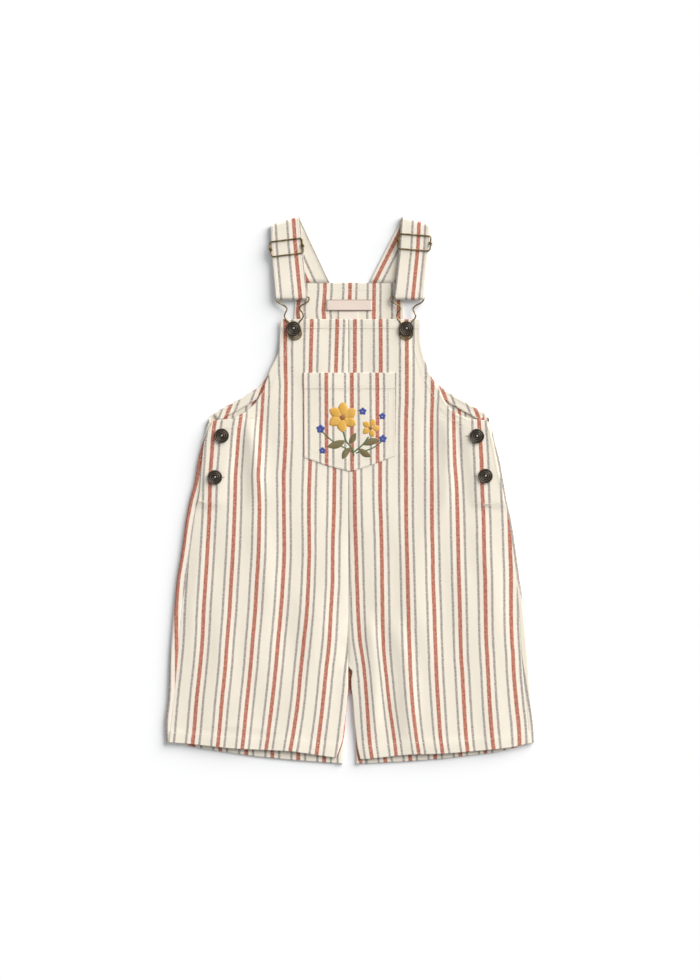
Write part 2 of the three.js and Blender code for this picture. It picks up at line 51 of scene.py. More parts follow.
# Sizes in millimetres. "up" is the height above the lowest point of the hems, "out" the distance
# from the middle line, and the garment's own left and right are those of the picture.
MM = 0.001
HALF_LENGTH = 278.85
CLOTH = 1.0
POCKET_CLOTH = 0.45
SOLID_CLOTH = 1.2
FOLD_RADIUS = 1.5
BACK_LEVEL = 0.6
WRAP_LEVEL = BACK_LEVEL + 2 * FOLD_RADIUS
PLACKET_LIFT = 1.5
UNDERLAP = 20
CENTRE_FRONT = -1.8
HEM_ROW = 20.7
HEM_REACH = 90
PLACKET_FOOT = 267
PLACKET_TOP = 348.8
SIDE_TOP = 350
BIB_TOP = 452.7
BACK_TOP = 489.9
FACING_WIDTH = 9
STRAP = 1.5
WIRE = 0.75
BUTTON_RADIUS = 7.4
BUTTON_RINGS = (6.6, 4.8, 3.0)
RIVET_RADIUS = 1.3
STRAP_BACK_LEVEL = 0.8
STRAP_RETURN_LEVEL = 2.7
STRAP_FRONT_LEVEL = 4.6
LOOP_RETURN_LEVEL = 2.3
LOOP_RADIUS = 1.9
STRAP_WIDTH = 31.0
LEG_RADIUS = 0.95
LEG_RUN = 4.5
HEM_BAND = 10
PITCH = 26.2
REDS_SHIFT = 0.4


def table(columns, rows):
    """Columns by name, each an array down the rows."""
    return {name: np.array([row[i] for row in rows], float) for i, name in enumerate(columns)}


BACK_EDGE = table(("up", "left", "right"), [
    (20.7, 187.7, 188.2),
    (39, 188.4, 187.4),
    (65, 185.6, 185.1),
    (105, 183.6, 182.1),
    (146, 180.5, 178.5),
    (187, 176.5, 173.4),
    (218, 171.4, 169.3),
    (248, 167.3, 164.7),
    (269, 163.2, 160.1),
    (289, 158.1, 156.6),
    (309, 155.0, 153.0),
    (330, 149.9, 147.4),
    (340, 146.9, 145.4),
    (349, 144.8, 143.1),
    (353, 142.8, 141.0),
    (361, 132.0, 131.0),
    (367.5, 119.5, 119.5),
    (377.5, 102.6, 102.5),
    (386, 91.0, 90.5),
    (392, 86.7, 85.5),
    (419.5, 66.8, 66.6),
    (437, 61.2, 60.2),
    (453, 57.9, 55.6),
    (470, 56.6, 54.3),
    (489.9, 56.1, 53.6),
])

FRONT_EDGE = table(("up", "left", "right"), [
    (20.7, 184.1, 184.6),
    (39, 182.6, 181.5),
    (65, 179.9, 179.0),
    (75, 178.6, 178.0),
    (95, 176.7, 176.0),
    (116, 174.9, 174.2),
    (157, 171.8, 172.1),
    (187, 166.8, 169.4),
    (218, 162.8, 165.8),
    (248, 158.8, 161.8),
    (259, 157.3, 159.5),
    (267, 154.9, 157.5),
    (278, 153.0, 155.5),
    (303, 151.0, 150.4),
    (330, 147.9, 145.2),
    (340, 144.4, 142.6),
    (348.8, 139.7, 139.7),
    (349.6, 136.7, 137.5),
    (351.2, 119.5, 121.5),
    (357, 108.4, 107.5),
    (361, 103.0, 103.0),
    (368, 95.8, 97.5),
    (385, 87.0, 88.0),
    (400, 81.6, 80.0),
    (420, 72.9, 73.6),
    (432, 71.4, 71.6),
    (452.7, 70.4, 71.2),
])

LEG_FOLD = table(("up", "left", "right"), [
    (20.7, 6.5, 6.4),
    (37, 6.0, 5.8),
    (53, 4.6, 4.1),
    (72, 2.4, 2.4),
    (76, 1.0, 1.0),
    (80, 0.0, 0.0),
])

FRONT_INNER = table(("up", "left", "right"), [
    (20.7, 14.2, 10.8),
    (23, 13.2, 10.0),
    (34, 8.8, 7.2),
    (42, 6.5, 6.2),
    (51, 5.4, 4.9),
    (65, 3.8, 3.6),
    (72, 3.0, 2.9),
    (78, 2.2, 1.7),
    (87, 2.2, 1.4),
    (93.4, 2.2, 2.7),
    (99.2, 1.82, -1.78),
])

HEMS = table(("out", "frontleft", "frontright", "backleft", "backright"), [
    (6, 5.5, 4.6, 0, 0),
    (20, 7.0, 5.2, 1.0, 0.6),
    (60, 13.0, 9.6, 4.0, 2.6),
    (95, 14.6, 10.5, 7.5, 5.3),
    (120, 15.8, 12.5, 11.0, 8.3),
    (150, 19.0, 15.2, 15.5, 11.8),
    (165, 20.5, 17.0, 18.5, 15.5),
    (180, 21.6, 20.4, 21.6, 20.4),
    (188, 21.9, 21.9, 21.9, 21.9),
])

# Distance out of each red stripe's middle on the fronts, at some heights
FRONT_REDS = {
    "left": table(("up", 0, 1, 2, 3, 4, 5, 6), [
        (18.7, 34.8, 61.9, 86.2, 110.2, 135.3, 160.9, 187.0),
        (34.0, 32.6, 58.8, 83.9, 108.6, 133.7, 159.2, 185.4),
        (64.6, 28.3, 53.7, 79.8, 105.4, 130.9, 156.7, 182.9),
        (95.2, 24.8, 50.5, 76.2, 102.0, 127.6, 153.4, 179.5),
        (125.8, 21.5, 47.2, 73.6, 99.5, 125.5, 150.7, 176.8),
        (156.4, 19.9, 44.2, 70.8, 96.9, 123.0, 149.4, 175.5),
        (187.0, 18.3, 42.7, 68.7, 95.2, 121.2, 147.4, 173.6),
        (217.6, 18.1, 41.8, 67.3, 93.4, 119.5, 145.6, 171.8),
        (263.5, 16.7, 42.3, 67.8, 92.6, 117.7, 143.3, 169.5),
        (294.0, 16.3, 41.5, 67.9, 93.8, 116.8, 142.6, 168.8),
        (309.4, 16.0, 40.9, 67.0, 93.0, 115.7, 141.5, 167.7),
        (340.0, 15.6, 40.8, 65.8, 91.4, 113.3, 139.2, 165.4),
        (355.3, 15.4, 40.8, 66.1, 90.3, 111.2, 137.0, 163.2),
        (385.9, 15.1, 40.8, 65.8, 88.7, 111.5, 137.5, 163.7),
        (401.0, 14.8, 40.6, 66.1, 91.0, 116.0, 142.0, 168.0),
        (447.0, 13.4, 39.4, 66.3, 92.7, 118.9, 145.1, 171.3),
    ]),
    "right": table(("up", 0, 1, 2, 3, 4, 5, 6), [
        (18.7, 22.4, 47.0, 70.3, 94.2, 119.6, 146.2, 172.4),
        (34.0, 19.8, 45.0, 67.3, 91.8, 117.8, 144.2, 171.8),
        (64.6, 17.2, 39.8, 63.1, 89.4, 115.6, 141.7, 168.9),
        (95.2, 14.3, 35.8, 60.9, 87.4, 113.7, 140.0, 166.2),
        (110.5, 12.2, 34.2, 60.4, 87.0, 112.6, 139.2, 165.6),
        (125.8, 9.8, 33.3, 59.8, 86.3, 112.2, 138.3, 164.5),
        (156.4, 7.8, 32.7, 59.1, 85.4, 111.5, 137.7, 163.6),
        (187.0, 6.7, 32.3, 58.4, 84.2, 110.5, 137.2, 163.7),
        (217.6, 5.8, 31.9, 57.5, 83.7, 109.8, 136.2, 162.8),
        (248.2, 4.8, 31.1, 56.8, 83.0, 109.1, 135.7, 161.8),
        (278.8, 4.4, 30.2, 56.6, 83.0, 108.2, 134.2, 160.4),
        (309.4, 4.1, 30.3, 56.5, 83.0, 105.9, 133.5, 159.7),
        (324.7, 4.2, 30.5, 56.4, 82.9, 105.5, 132.6, 158.8),
        (355.3, 4.3, 30.6, 56.8, 83.1, 105.0, 130.7, 156.9),
        (370.6, 4.4, 31.0, 57.4, 83.5, 106.0, 131.5, 157.7),
        (401.0, 4.5, 31.0, 57.5, 83.8, 110.0, 136.2, 162.4),
        (447.0, 4.6, 30.7, 57.2, 83.5, 109.7, 135.9, 162.1),
    ]),
}

# Red stripe nearest the middle of the back, and the pitch there, at some heights
BACK_REDS = {
    "left": table(("up", "first", "pitch"), [
        (19, 26.3, 26.5),
        (95, 26.2, 26.2),
        (232, 8.0, 26.2),
        (352, -7.3, 26.2),
        (372, -10.0, 26.2),
        (420, -3.0, 26.2),
        (462, 1.0, 26.2),
        (482, -0.1, 25.6),
    ]),
    "right": table(("up", "first", "pitch"), [
        (19, 10.8, 25.5),
        (60, 5.0, 26.0),
        (85, 0.4, 26.6),
        (150, 0.5, 26.9),
        (187, 0.7, 26.9),
        (232, 1.0, 26.5),
        (300, 0.0, 25.7),
        (352, -1.0, 25.3),
        (462, -1.0, 25.3),
        (482, 0.1, 24.5),
    ]),
}

# Distance of the outermost red stripe of the back from the side fold, on the upper side
SIDE_REDS = table(("up", "left", "right"), [
    (20, 9.0, -17.2),
    (35, 9.0, -16.9),
    (50, 8.9, -16.2),
    (65, 8.8, -15.2),
    (80, 8.6, -14.0),
    (96, 8.0, -12.6),
    (110, 7.2, -11.2),
    (126, 5.8, -10.0),
    (140, 4.4, -8.8),
    (156, 3.0, -7.4),
    (172, 2.4, -6.0),
    (187, 2.0, -5.2),
    (233, 1.8, -4.8),
    (263, 2.0, -4.8),
    (309, 2.6, -4.8),
    (325, 2.8, -4.8),
    (333, 3.8, -5.4),
    (342, 6.4, -7.3),
    (350, 8.4, -8.6),
])

# Distance of the red stripe by the inner leg from the leg's fold, on the upper side
LEG_REDS = table(("up", "left", "right"), [
    (20.7, 9.9, 5.1),
    (25, 8.4, 3.5),
    (30, 6.0, 2.6),
    (34, 4.4, 2.3),
    (38, 3.2, 2.4),
    (42, 2.6, 2.6),
    (51, 1.4, 3.3),
    (72, 0.7, 4.0),
])

# Place of one red stripe on each facing, out and up, and the stripes' lean
FACING_RED = {"left": (121.7, 365.5), "right": (99.2, 367.5)}
FACING_LEAN = 0.38

# Soft creases of the fronts: ridges rise and troughs fall, each between two ends
CREASES = table(("from_x", "from_up", "to_x", "to_up", "width", "rise"), [
    (-104, 356, -99, 250, 8.0, 2.8),
    (-90, 372, -92, 300, 6.0, -0.8),
    (-118, 340, -110, 280, 6.0, -0.6),
    (97, 360, 94, 244, 8.0, 2.2),
    (84, 366, 82, 300, 6.0, -0.7),
    (112, 344, 105, 276, 6.5, -0.6),
    (-98, 262, -84, 140, 12.0, 1.3),
    (-68, 250, -60, 90, 14.0, -0.7),
    (-36, 190, -52, 40, 12.0, 1.1),
    (-12, 150, -26, 60, 8.0, 0.9),
    (-118, 210, -132, 50, 13.0, 0.9),
    (-150, 250, -158, 90, 9.0, 0.7),
    (18, 158, 24, 34, 7.5, 2.4),
    (31, 150, 40, 30, 7.0, -1.3),
    (46, 150, 58, 26, 9.0, 1.8),
    (70, 240, 84, 90, 13.0, 0.9),
    (100, 230, 112, 60, 14.0, -0.6),
    (130, 250, 146, 60, 12.0, 1.1),
    (58, 440, 60, 396, 8.0, 0.5),
    (-58, 436, -60, 392, 8.0, 0.5),
    (20, 296, 8, 220, 10.0, 0.7),
    (-30, 300, -26, 226, 9.0, 0.6),
    (-4, 128, -4, 96, 5.0, -0.8),
    (-60, 34, -150, 40, 5.0, 0.35),
    (50, 30, 150, 36, 5.0, 0.35),
])

POCKET_TOP = 398.1
POCKET = table(("up", "topX", "footX", "foot"), [
    (0.0, -47.9, -46.7, 312.2),
    (0.25, -23.9, -23.8, 303.9),
    (0.5, 0.5, 0.5, 297.6),
    (0.75, 21.0, 20.7, 303.8),
    (1.0, 47.3, 46.1, 313.9),
])

# Edges of each strap: left edge and right edge, across and up, as the picture shows it
STRAPS = {
    "left": {
        "sign": -1,
        "sewn": ((-56.1, 490.2), (-20.9, 490.2)),
        "shoulder": ((-80.2, 546.3), (-51.2, 555.0)),
        "slider": ((-79.6, 525.0), (-49.2, 527.0)),
        "below": ((-78.6, 512.0), (-47.6, 512.0)),
        "loop": ((-75.2, 475.3), (-44.0, 475.3)),
        "return_end": ((-79.0, 521.0), (-48.2, 523.0)),
        "slider_centre": (-64.5, 525.8),
        "slider_tilt": 7.0,
        "eye_shift": 1.5,
        "upper_red": 24.4,
        "lower_red": 11.5,
    },
    "right": {
        "sign": 1,
        "sewn": ((19.9, 490.2), (53.6, 490.2)),
        "shoulder": ((52.4, 555.0), (80.6, 546.3)),
        "slider": ((50.8, 531.6), (80.2, 529.6)),
        "below": ((49.8, 517.0), (79.0, 517.0)),
        "loop": ((45.2, 475.3), (74.9, 475.3)),
        "return_end": ((49.6, 527.5), (79.4, 526.5)),
        "slider_centre": (65.5, 531.0),
        "slider_tilt": -4.5,
        "eye_shift": 0.3,
        "upper_red": 19.6,
        "lower_red": 4.6,
    },
}
SLIDER_HALF_WIDTH = 16.4
SLIDER_HALF_HEIGHT = 7.6

BIB_BUTTON = (57.5, 443.3)
SIDE_BUTTONS = {
    "left_top": (-130.6, 334.1),
    "left_low": (-137.4, 291.8),
    "right_top": (129.2, 333.7),
    "right_low": (137.9, 293.1),
}
CLIP_BAR = 32.0
CLIP_OUTER_SIDE = (
    (-16.4, 32.0), (-17.6, 31.0), (-17.2, 28.9), (-15.0, 26.4), (-9.2, 23.1), (-6.7, 19.8),
    (-8.4, 15.6), (-9.3, 12.4), (-8.0, 9.6), (-5.4, 6.8), (-4.6, 3.4),
)
CLIP_INNER_SIDE = (
    (5.2, 3.4), (6.2, 7.0), (8.8, 9.8), (9.9, 12.6), (9.0, 16.0), (6.4, 19.6), (7.6, 23.2),
    (12.4, 25.8), (15.2, 28.2), (15.7, 31.0), (14.6, 32.0),
)
CLIP_EYE_CENTRE = -4.5
CLIP_EYE_RADIUS = 6.7
EYE_SPACING = 2.0
EYE_WIRE = 0.6

NECK_LABEL = (-24.0, 22.4, 461.8, 472.8)
CARE_LABEL = (-11.6, 8.2, 440.0, 461.5)


def curved(rows, column, value, key="up"):
    """Smooth line through a table's column, with no overshoot between its rows."""
    place, height = rows[key], rows[column]
    value = np.clip(value, place[0], place[-1])
    step = np.diff(place)
    rise = np.diff(height) / step
    slope = np.zeros_like(height)
    with np.errstate(divide="ignore", invalid="ignore"):
        ahead, behind = 2 * step[1:] + step[:-1], step[1:] + 2 * step[:-1]
        inner = (ahead + behind) / (ahead / rise[:-1] + behind / rise[1:])
    slope[1:-1] = np.where(rise[:-1] * rise[1:] <= 0, 0, inner)
    slope[0], slope[-1] = rise[0], rise[-1]
    i = np.clip(np.searchsorted(place, value, side="right") - 1, 0, len(step) - 1)
    t = (value - place[i]) / step[i]
    return (
        height[i] * (1 + 2 * t) * (1 - t) ** 2
        + step[i] * slope[i] * t * (1 - t) ** 2
        + height[i + 1] * t * t * (3 - 2 * t)
        + step[i] * slope[i + 1] * t * t * (t - 1)
    )


def straight(rows, column, value, key="up"):
    return np.interp(value, rows[key], rows[column])


def smooth(start, end, value):
    """0 at the start and 1 at the end, whichever is the larger."""
    t = np.clip((value - start) / (end - start), 0, 1)
    return t * t * (3 - 2 * t)


def garment(x, up, level):
    """Points in the frame, in metres, from millimetres across, up and above the surface."""
    return np.stack(np.broadcast_arrays(x, np.subtract(up, HALF_LENGTH), level), axis=-1) * MM


def hem_height(line, out, up):
    """Rows near the hem follow its slope and straighten higher up the leg."""
    hem = straight(HEMS, line, out, "out")
    lowered = hem + (up - HEM_ROW) * (HEM_REACH - hem) / (HEM_REACH - HEM_ROW)
    return np.where(up >= HEM_REACH, up, lowered)


def crease_rise(x, up):
    """Height that the soft creases add, and the puckers and unevenness between them."""
    rise = np.zeros(np.broadcast(x, up).shape)
    for from_x, from_up, to_x, to_up, width, height in zip(*CREASES.values()):
        run, fall = to_x - from_x, to_up - from_up
        length = math.hypot(run, fall)
        share = ((x - from_x) * run + (up - from_up) * fall) / length**2
        bow = 0.05 * length * np.sin(math.pi * np.clip(share, 0, 1)) * (1 if height > 1 else -1)
        across = ((x - from_x) * fall - (up - from_up) * run) / length + bow
        ends = smooth(-0.05, 0.3, share) * smooth(1.05, 0.6, share)
        rise += height * ends * np.exp(-((across / width) ** 2))
    for wave_x, wave_up, phase, height in (
        (71, 240, 0.4, 0.22), (43, 160, 1.7, 0.16), (97, 87, 2.6, 0.14), (29, 118, 4.1, 0.10),
    ):
        rise += height * np.sin(x * 2 * math.pi / wave_x + phase) * np.sin(
            up * 2 * math.pi / wave_up + 2 * phase
        )
    return rise


def front_side_level(side, out, up):
    sign = -1 if side == "left" else 1
    x = sign * out
    inner = straight(FRONT_INNER, side, up)
    outer = straight(FRONT_EDGE, side, up)
    share = np.clip((out - inner) / (outer - inner), 0, 1)
    puff = 1.6 - 1.1 * smooth(230, 330, up)
    edge = straight(BACK_EDGE, side, up)
    opening = smooth(PLACKET_FOOT - 9, PLACKET_FOOT, up) * smooth(366, PLACKET_TOP + 3, up)
    lift = smooth(edge - 42, edge - 27, out) * opening * PLACKET_LIFT
    from_side = (1 - share) * (outer - inner)
    inset = smooth(0, 14, from_side) * (1 - 0.75 * opening * smooth(edge - 44, edge - 30, out))
    at_leg = np.where(up < 99, smooth(0, 10, share * (outer - inner)), 1)
    pucker = 0.16 * np.sin(up * 2 * math.pi / 9.5) * np.exp(-from_side / 5) * smooth(280, 262, up)
    level = WRAP_LEVEL + puff * np.sin(math.pi * share) ** 0.8 + lift + inset * at_leg * crease_rise(x, up)
    seam = np.where(up > 99, 0.35 * np.exp(-(((x - CENTRE_FRONT) / 2.2) ** 2)), 0)
    return level + pucker * (1 - opening) - seam


def front_level(x, up):
    """Level of the middle of the front cloth at points of the garment."""
    left = front_side_level("left", -x, up)
    right = front_side_level("right", x, up)
    return np.where(x < CENTRE_FRONT, left, right)


def front_top(x, up):
    return float(front_level(np.array([x]), np.array([up]))[0]) + CLOTH / 2


def section_normals(points):
    """Normals of a grid's rows, each in the upright plane of its section."""
    along = np.gradient(points, axis=1)
    normal = np.stack([along[..., 2], np.zeros(along.shape[:2]), -along[..., 0]], axis=-1)
    return normal / np.linalg.norm(normal, axis=-1, keepdims=True)


def grid_normals(points):
    normal = np.cross(np.gradient(points, axis=1), np.gradient(points, axis=0))
    return normal / np.linalg.norm(normal, axis=-1, keepdims=True)


def outward(points, faces):
    """Faces of a closed form, turned to face outwards."""
    corners = np.asarray(points, float)
    volume = 0.0
    for size in {len(face) for face in faces}:
        group = np.array([face for face in faces if len(face) == size])
        first = corners[group[:, 0]]
        for k in range(1, size - 1):
            volume += np.sum(first * np.cross(corners[group[:, k]], corners[group[:, k + 1]]))
    return [tuple(face) if volume > 0 else tuple(face)[::-1] for face in faces]


def closed_mesh(name, points, faces, material, uv=None):
    """Object from the points, in metres, and faces of a closed form."""
    mesh = bpy.data.meshes.new(name)
    mesh.from_pydata(np.asarray(points).tolist(), [], outward(points, faces))
    mesh.shade_smooth()
    if uv is not None:
        layer = mesh.uv_layers.new(name="Weave")
        loops = np.empty(len(mesh.loops), int)
        mesh.loops.foreach_get("vertex_index", loops)
        layer.data.foreach_set("uv", np.asarray(uv, np.float32)[loops].ravel())
    mesh.materials.append(material)
    mesh.validate()
    obj = bpy.data.objects.new(name, mesh)
    bpy.context.scene.collection.objects.link(obj)
    return obj


def grid_faces(rows, columns, start=0):
    index = np.arange(rows * columns).reshape(rows, columns) + start
    return np.stack([index[:-1, :-1], index[:-1, 1:], index[1:, 1:], index[1:, :-1]], -1).reshape(-1, 4)


def rim_of(rows, columns):
    index = np.arange(rows * columns).reshape(rows, columns)
    return np.concatenate([index[0, :-1], index[:-1, -1], index[-1, :0:-1], index[:0:-1, 0]])


def shell(name, middle, normal, thickness, material, uv, uv_under=None, extra=0.0):
    """Thin wall of cloth about a grid of points, with a rounded rim."""
    rows, columns = middle.shape[:2]
    layer = rows * columns
    half = thickness * MM / 2
    extra = np.broadcast_to(np.asarray(extra, float), (rows, columns))[..., None] * MM
    over = (middle + normal * (half + extra)).reshape(-1, 3)
    under = (middle - normal * half).reshape(-1, 3)
    rim = rim_of(rows, columns)
    centre = (over[rim] + under[rim]) / 2
    ahead = np.roll(centre, -1, 0) - np.roll(centre, 1, 0)
    away = np.cross(ahead, normal.reshape(-1, 3)[rim])
    length = np.linalg.norm(away, axis=1, keepdims=True)
    away = away / np.maximum(length, 1e-12)
    inside = middle[rows // 2, columns // 2]
    if np.sum(away * (centre - inside)) < 0:
        away = -away
    points = np.concatenate([over, under, centre + away * half * 0.5])
    upper = grid_faces(rows, columns)
    lower = grid_faces(rows, columns, layer)[:, ::-1]
    ring = np.arange(len(rim)) + 2 * layer
    turn = np.roll(np.arange(len(rim)), -1)
    top_band = np.stack([rim[turn], rim, ring, ring[turn]], -1)
    low_band = np.stack([ring[turn], ring, rim + layer, rim[turn] + layer], -1)
    faces = np.concatenate([upper, lower, top_band, low_band]).tolist()
    uv = uv.reshape(-1, 2)
    uv_under = uv if uv_under is None else uv_under.reshape(-1, 2)
    return closed_mesh(name, points, faces, material, np.concatenate([uv, uv_under, uv[rim]]))


def cloth_area(middle):
    a = middle[1:, 1:] - middle[:-1, :-1]
    b = middle[1:, :-1] - middle[:-1, 1:]
    return float(np.linalg.norm(np.cross(a, b), axis=-1).sum() / 2)


def finish_cloth(obj, nodes, flat, middle, layers=1):
    """Ride and replace a piece of cloth; flat is its cut width and length in mm."""
    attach(obj, "root")
    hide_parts(*nodes)
    width, length = flat[0] * MM, flat[1] * MM
    area = min(cloth_area(middle) * layers, width * length)


def heights(start, end, step, extra=()):
    """Row heights: even steps, the given ones, and a close pair at both ends for a crisp edge."""
    even = np.arange(start + step, end - step / 2, step)
    close = 0.5
    rows = np.concatenate([[start, start + close], even, [end - close, end], extra])
    rows = np.unique(np.round(rows, 3))
    keep = np.concatenate([[True], np.diff(rows) > 0.3])
    keep[-1] = True
    return rows[keep]


def shares(count):
    """Even shares from 0 to 1 with a close pair at both ends."""
    return np.concatenate([[0, 0.0035], np.linspace(0, 1, count)[1:-1], [0.9965, 1]])


def front_warp(side, out, up):
    """Stripe count from the middle of the first red stripe, across the front."""
    reds = FRONT_REDS[side]
    warp = np.empty_like(out)
    for row in range(out.shape[0]):
        at = [float(curved(reds, k, up[row, 0])) for k in range(7)]
        shift = -REDS_SHIFT if side == "left" else REDS_SHIFT
        places = np.array([at[0] - PITCH, *at, at[-1] + PITCH]) + shift
        warp[row] = np.interp(out[row], places, np.arange(-1, 8))
    return warp


def back_warp(side, path, edge_path, leg_path, up):
    """Stripe count across the back, along its cloth from the middle line round the side fold."""
    first = straight(BACK_REDS[side], "first", up)
    pitch = straight(BACK_REDS[side], "pitch", up)
    gap = 6 - straight(SIDE_REDS, side, up) / PITCH - (edge_path - first) / pitch
    gap = np.where(up > SIDE_TOP, gap[np.argmin(abs(up[:, 0] - SIDE_TOP))], gap)
    reach = np.interp(up, (20, 120), (34, 96))
    near = smooth(edge_path - reach, edge_path - 6, path) * smooth(430, SIDE_TOP, up)
    leg = np.minimum((path - leg_path + straight(LEG_REDS, side, up)) / PITCH, 0.2)
    leg = leg - (1 if side == "left" else 0)
    at_leg = smooth(12, 3, path - leg_path) * smooth(80, 74, up)
    warp = (path - first) / pitch + near * gap
    return warp + at_leg * (leg - warp)


def weave_uv(warp, up):
    return np.stack(np.broadcast_arrays(warp, np.asarray(up) / PITCH), axis=-1)


class Wire:
    """Output socket of a shader node, with arithmetic that adds Math nodes."""

    def __init__(self, tree, socket):
        self.tree = tree
        self.socket = socket

    def math(self, operation, *others, clamp=False):
        settings = {"operation": operation, "use_clamp": clamp}
        return self.tree.node("ShaderNodeMath", settings, {0: self, **dict(enumerate(others, 1))})

    def __add__(self, other):
        return self.math("ADD", other)

    def __radd__(self, other):
        return self + other

    def __sub__(self, other):
        return self.math("SUBTRACT", other)

    def __rsub__(self, other):
        return self.tree.node("ShaderNodeMath", {"operation": "SUBTRACT"}, {0: other, 1: self})

    def __mul__(self, other):
        return self.math("MULTIPLY", other)

    def __rmul__(self, other):
        return self * other

    def between(self, low, high):
        """0 below low, 1 above high and smooth between."""
        settings = {"interpolation_type": "SMOOTHSTEP"}
        inputs = {"Value": self, "From Min": low, "From Max": high}
        return self.tree.node("ShaderNodeMapRange", settings, inputs)


class Finish:
    """Node tree of one material with a Principled shader."""

    def __init__(self, name, **constants):
        self.material = bpy.data.materials.new(name)
        self.material.use_nodes = True
        self.nodes = self.material.node_tree.nodes
        self.links = self.material.node_tree.links
        self.shader = next(node for node in self.nodes if node.type == "BSDF_PRINCIPLED")
        for socket, value in constants.items():
            self.shader.inputs[socket.replace("_", " ")].default_value = value

    def node(self, kind, settings=None, inputs=None, output=0):
        node = self.nodes.new(kind)
        for key, value in (settings or {}).items():
            if key == "stops":
                elements = node.color_ramp.elements
                while len(elements) < len(value):
                    elements.new(0.5)
                for element, (place, colour) in zip(elements, value):
                    element.position = place
                    element.color = (*colour, 1)
            else:
                setattr(node, key, value)
        for key, value in (inputs or {}).items():
            if isinstance(value, Wire):
                self.links.new(value.socket, node.inputs[key])
            else:
                node.inputs[key].default_value = value
        return Wire(self, node.outputs[output])

    def feed(self, socket, wire):
        self.links.new(wire.socket, self.shader.inputs[socket])

    def mix(self, factor, low, high):
        """Mix of two colours, each a tuple or a wire."""
        colours = {
            6: (*low, 1) if isinstance(low, tuple) else low,
            7: (*high, 1) if isinstance(high, tuple) else high,
        }
        return self.node("ShaderNodeMix", {"data_type": "RGBA"}, {0: factor, **colours}, output=2)

    def noise(self, vector, scale, detail=2.0, roughness=0.5):
        inputs = {"Vector": vector, "Scale": scale, "Detail": detail, "Roughness": roughness}
        return self.node("ShaderNodeTexNoise", {}, inputs)

    def split(self, vector):
        first = self.node("ShaderNodeSeparateXYZ", {}, {0: vector})
        node = first.socket.node
        return [Wire(self, node.outputs[k]) for k in range(3)]

    def join(self, x, y, z=0.0):
        return self.node("ShaderNodeCombineXYZ", {}, {0: x, 1: y, 2: z})

    def bump(self, height, distance, strength=1.0):
        return self.node("ShaderNodeBump", {}, {"Height": height, "Distance": distance, "Strength": strength})


def linear(colour):
    """Linear value of a display colour given as 0 to 255."""
    return tuple(c / 255 / 12.92 if c <= 10 else ((c / 255 + 0.055) / 1.055) ** 2.4 for c in colour)


def canvas_finish(settings):
    """Cream cotton canvas: red stripes, each with a grey line on both sides, in a fine weave."""
    finish = Finish("striped_canvas", Roughness=0.92, Specular_IOR_Level=0.18, Sheen_Weight=0.06)
    uv = finish.node("ShaderNodeUVMap", {"uv_map": "Weave"})
    warp, weft, _ = finish.split(uv)
    mottle = finish.noise(finish.join(warp * 11.0, weft * 13.0), 1.0, 3.0, 0.65)
    fleck = finish.noise(finish.join(warp * 30.0, weft * 22.0), 1.0, 2.0)
    slub = finish.noise(finish.join(warp * 34.0, weft * 1.6), 1.0, 3.0)
    cloud = finish.noise(finish.join(warp * 1.1, weft * 1.4), 1.0, 3.0)
    wobble = finish.noise(finish.join(warp * 0.4, weft * 2.2), 1.0, 2.0)
    shifted = warp + (wobble - 0.5) * 0.014 + (fleck - 0.5) * 0.03
    apart = (shifted + 0.5).math("FRACT") - 0.5
    apart = apart.math("ABSOLUTE")
    red = 1.0 - apart.between(0.061, 0.09)
    line = (apart - 0.265).math("ABSOLUTE")
    grey = 1.0 - line.between(0.028, 0.062)
    rung = (weft * (2 * math.pi * PITCH / settings.rung) + fleck * 3.0).math("SINE") * 0.5 + 0.5
    white_band = 1.0 - apart.between(0.2, 0.24)
    cream = finish.mix(white_band, linear(settings.cream), linear(settings.pale))
    cream = finish.mix((slub - 0.35) * 0.9, cream, linear(settings.shade))
    cream = finish.mix(cloud.between(0.45, 0.8) * 0.35, cream, linear(settings.blush))
    uneven = mottle.between(0.4, 0.6) * 0.75 + rung * 0.25
    red_yarn = finish.mix(uneven, linear(settings.red), linear(settings.red_pale))
    red_yarn = finish.mix(fleck.between(0.56, 0.72) * 0.3, red_yarn, linear(settings.cream))
    grey_yarn = finish.mix(mottle.between(0.36, 0.62), linear(settings.grey), linear(settings.grey_pale))
    coloured = finish.mix(red * 0.97, cream, red_yarn)
    coloured = finish.mix(grey * (0.97 - rung * 0.16), coloured, grey_yarn)
    finish.feed("Base Color", coloured)
    thread = 2 * math.pi * PITCH / settings.thread
    across = (warp * thread).math("SINE")
    down = (weft * thread).math("SINE")
    weave = across * down * 0.5 + fleck * 0.5 + slub * 0.4
    finish.feed("Normal", finish.bump(weave, 0.00012, 0.8))
    return finish.material


def thread_finish(name, colour, dark, scale=2600.0):
    """Twisted sewing thread."""
    finish = Finish(name, Roughness=0.7, Specular_IOR_Level=0.3, Sheen_Weight=0.1)
    place = finish.node("ShaderNodeTexCoord", {}, {}, output=3)
    grain = finish.noise(place, scale, 2.0)
    finish.feed("Base Color", finish.mix(grain.between(0.3, 0.7), linear(dark), linear(colour)))
    finish.feed("Normal", finish.bump(grain, 0.0001, 0.5))
    return finish.material


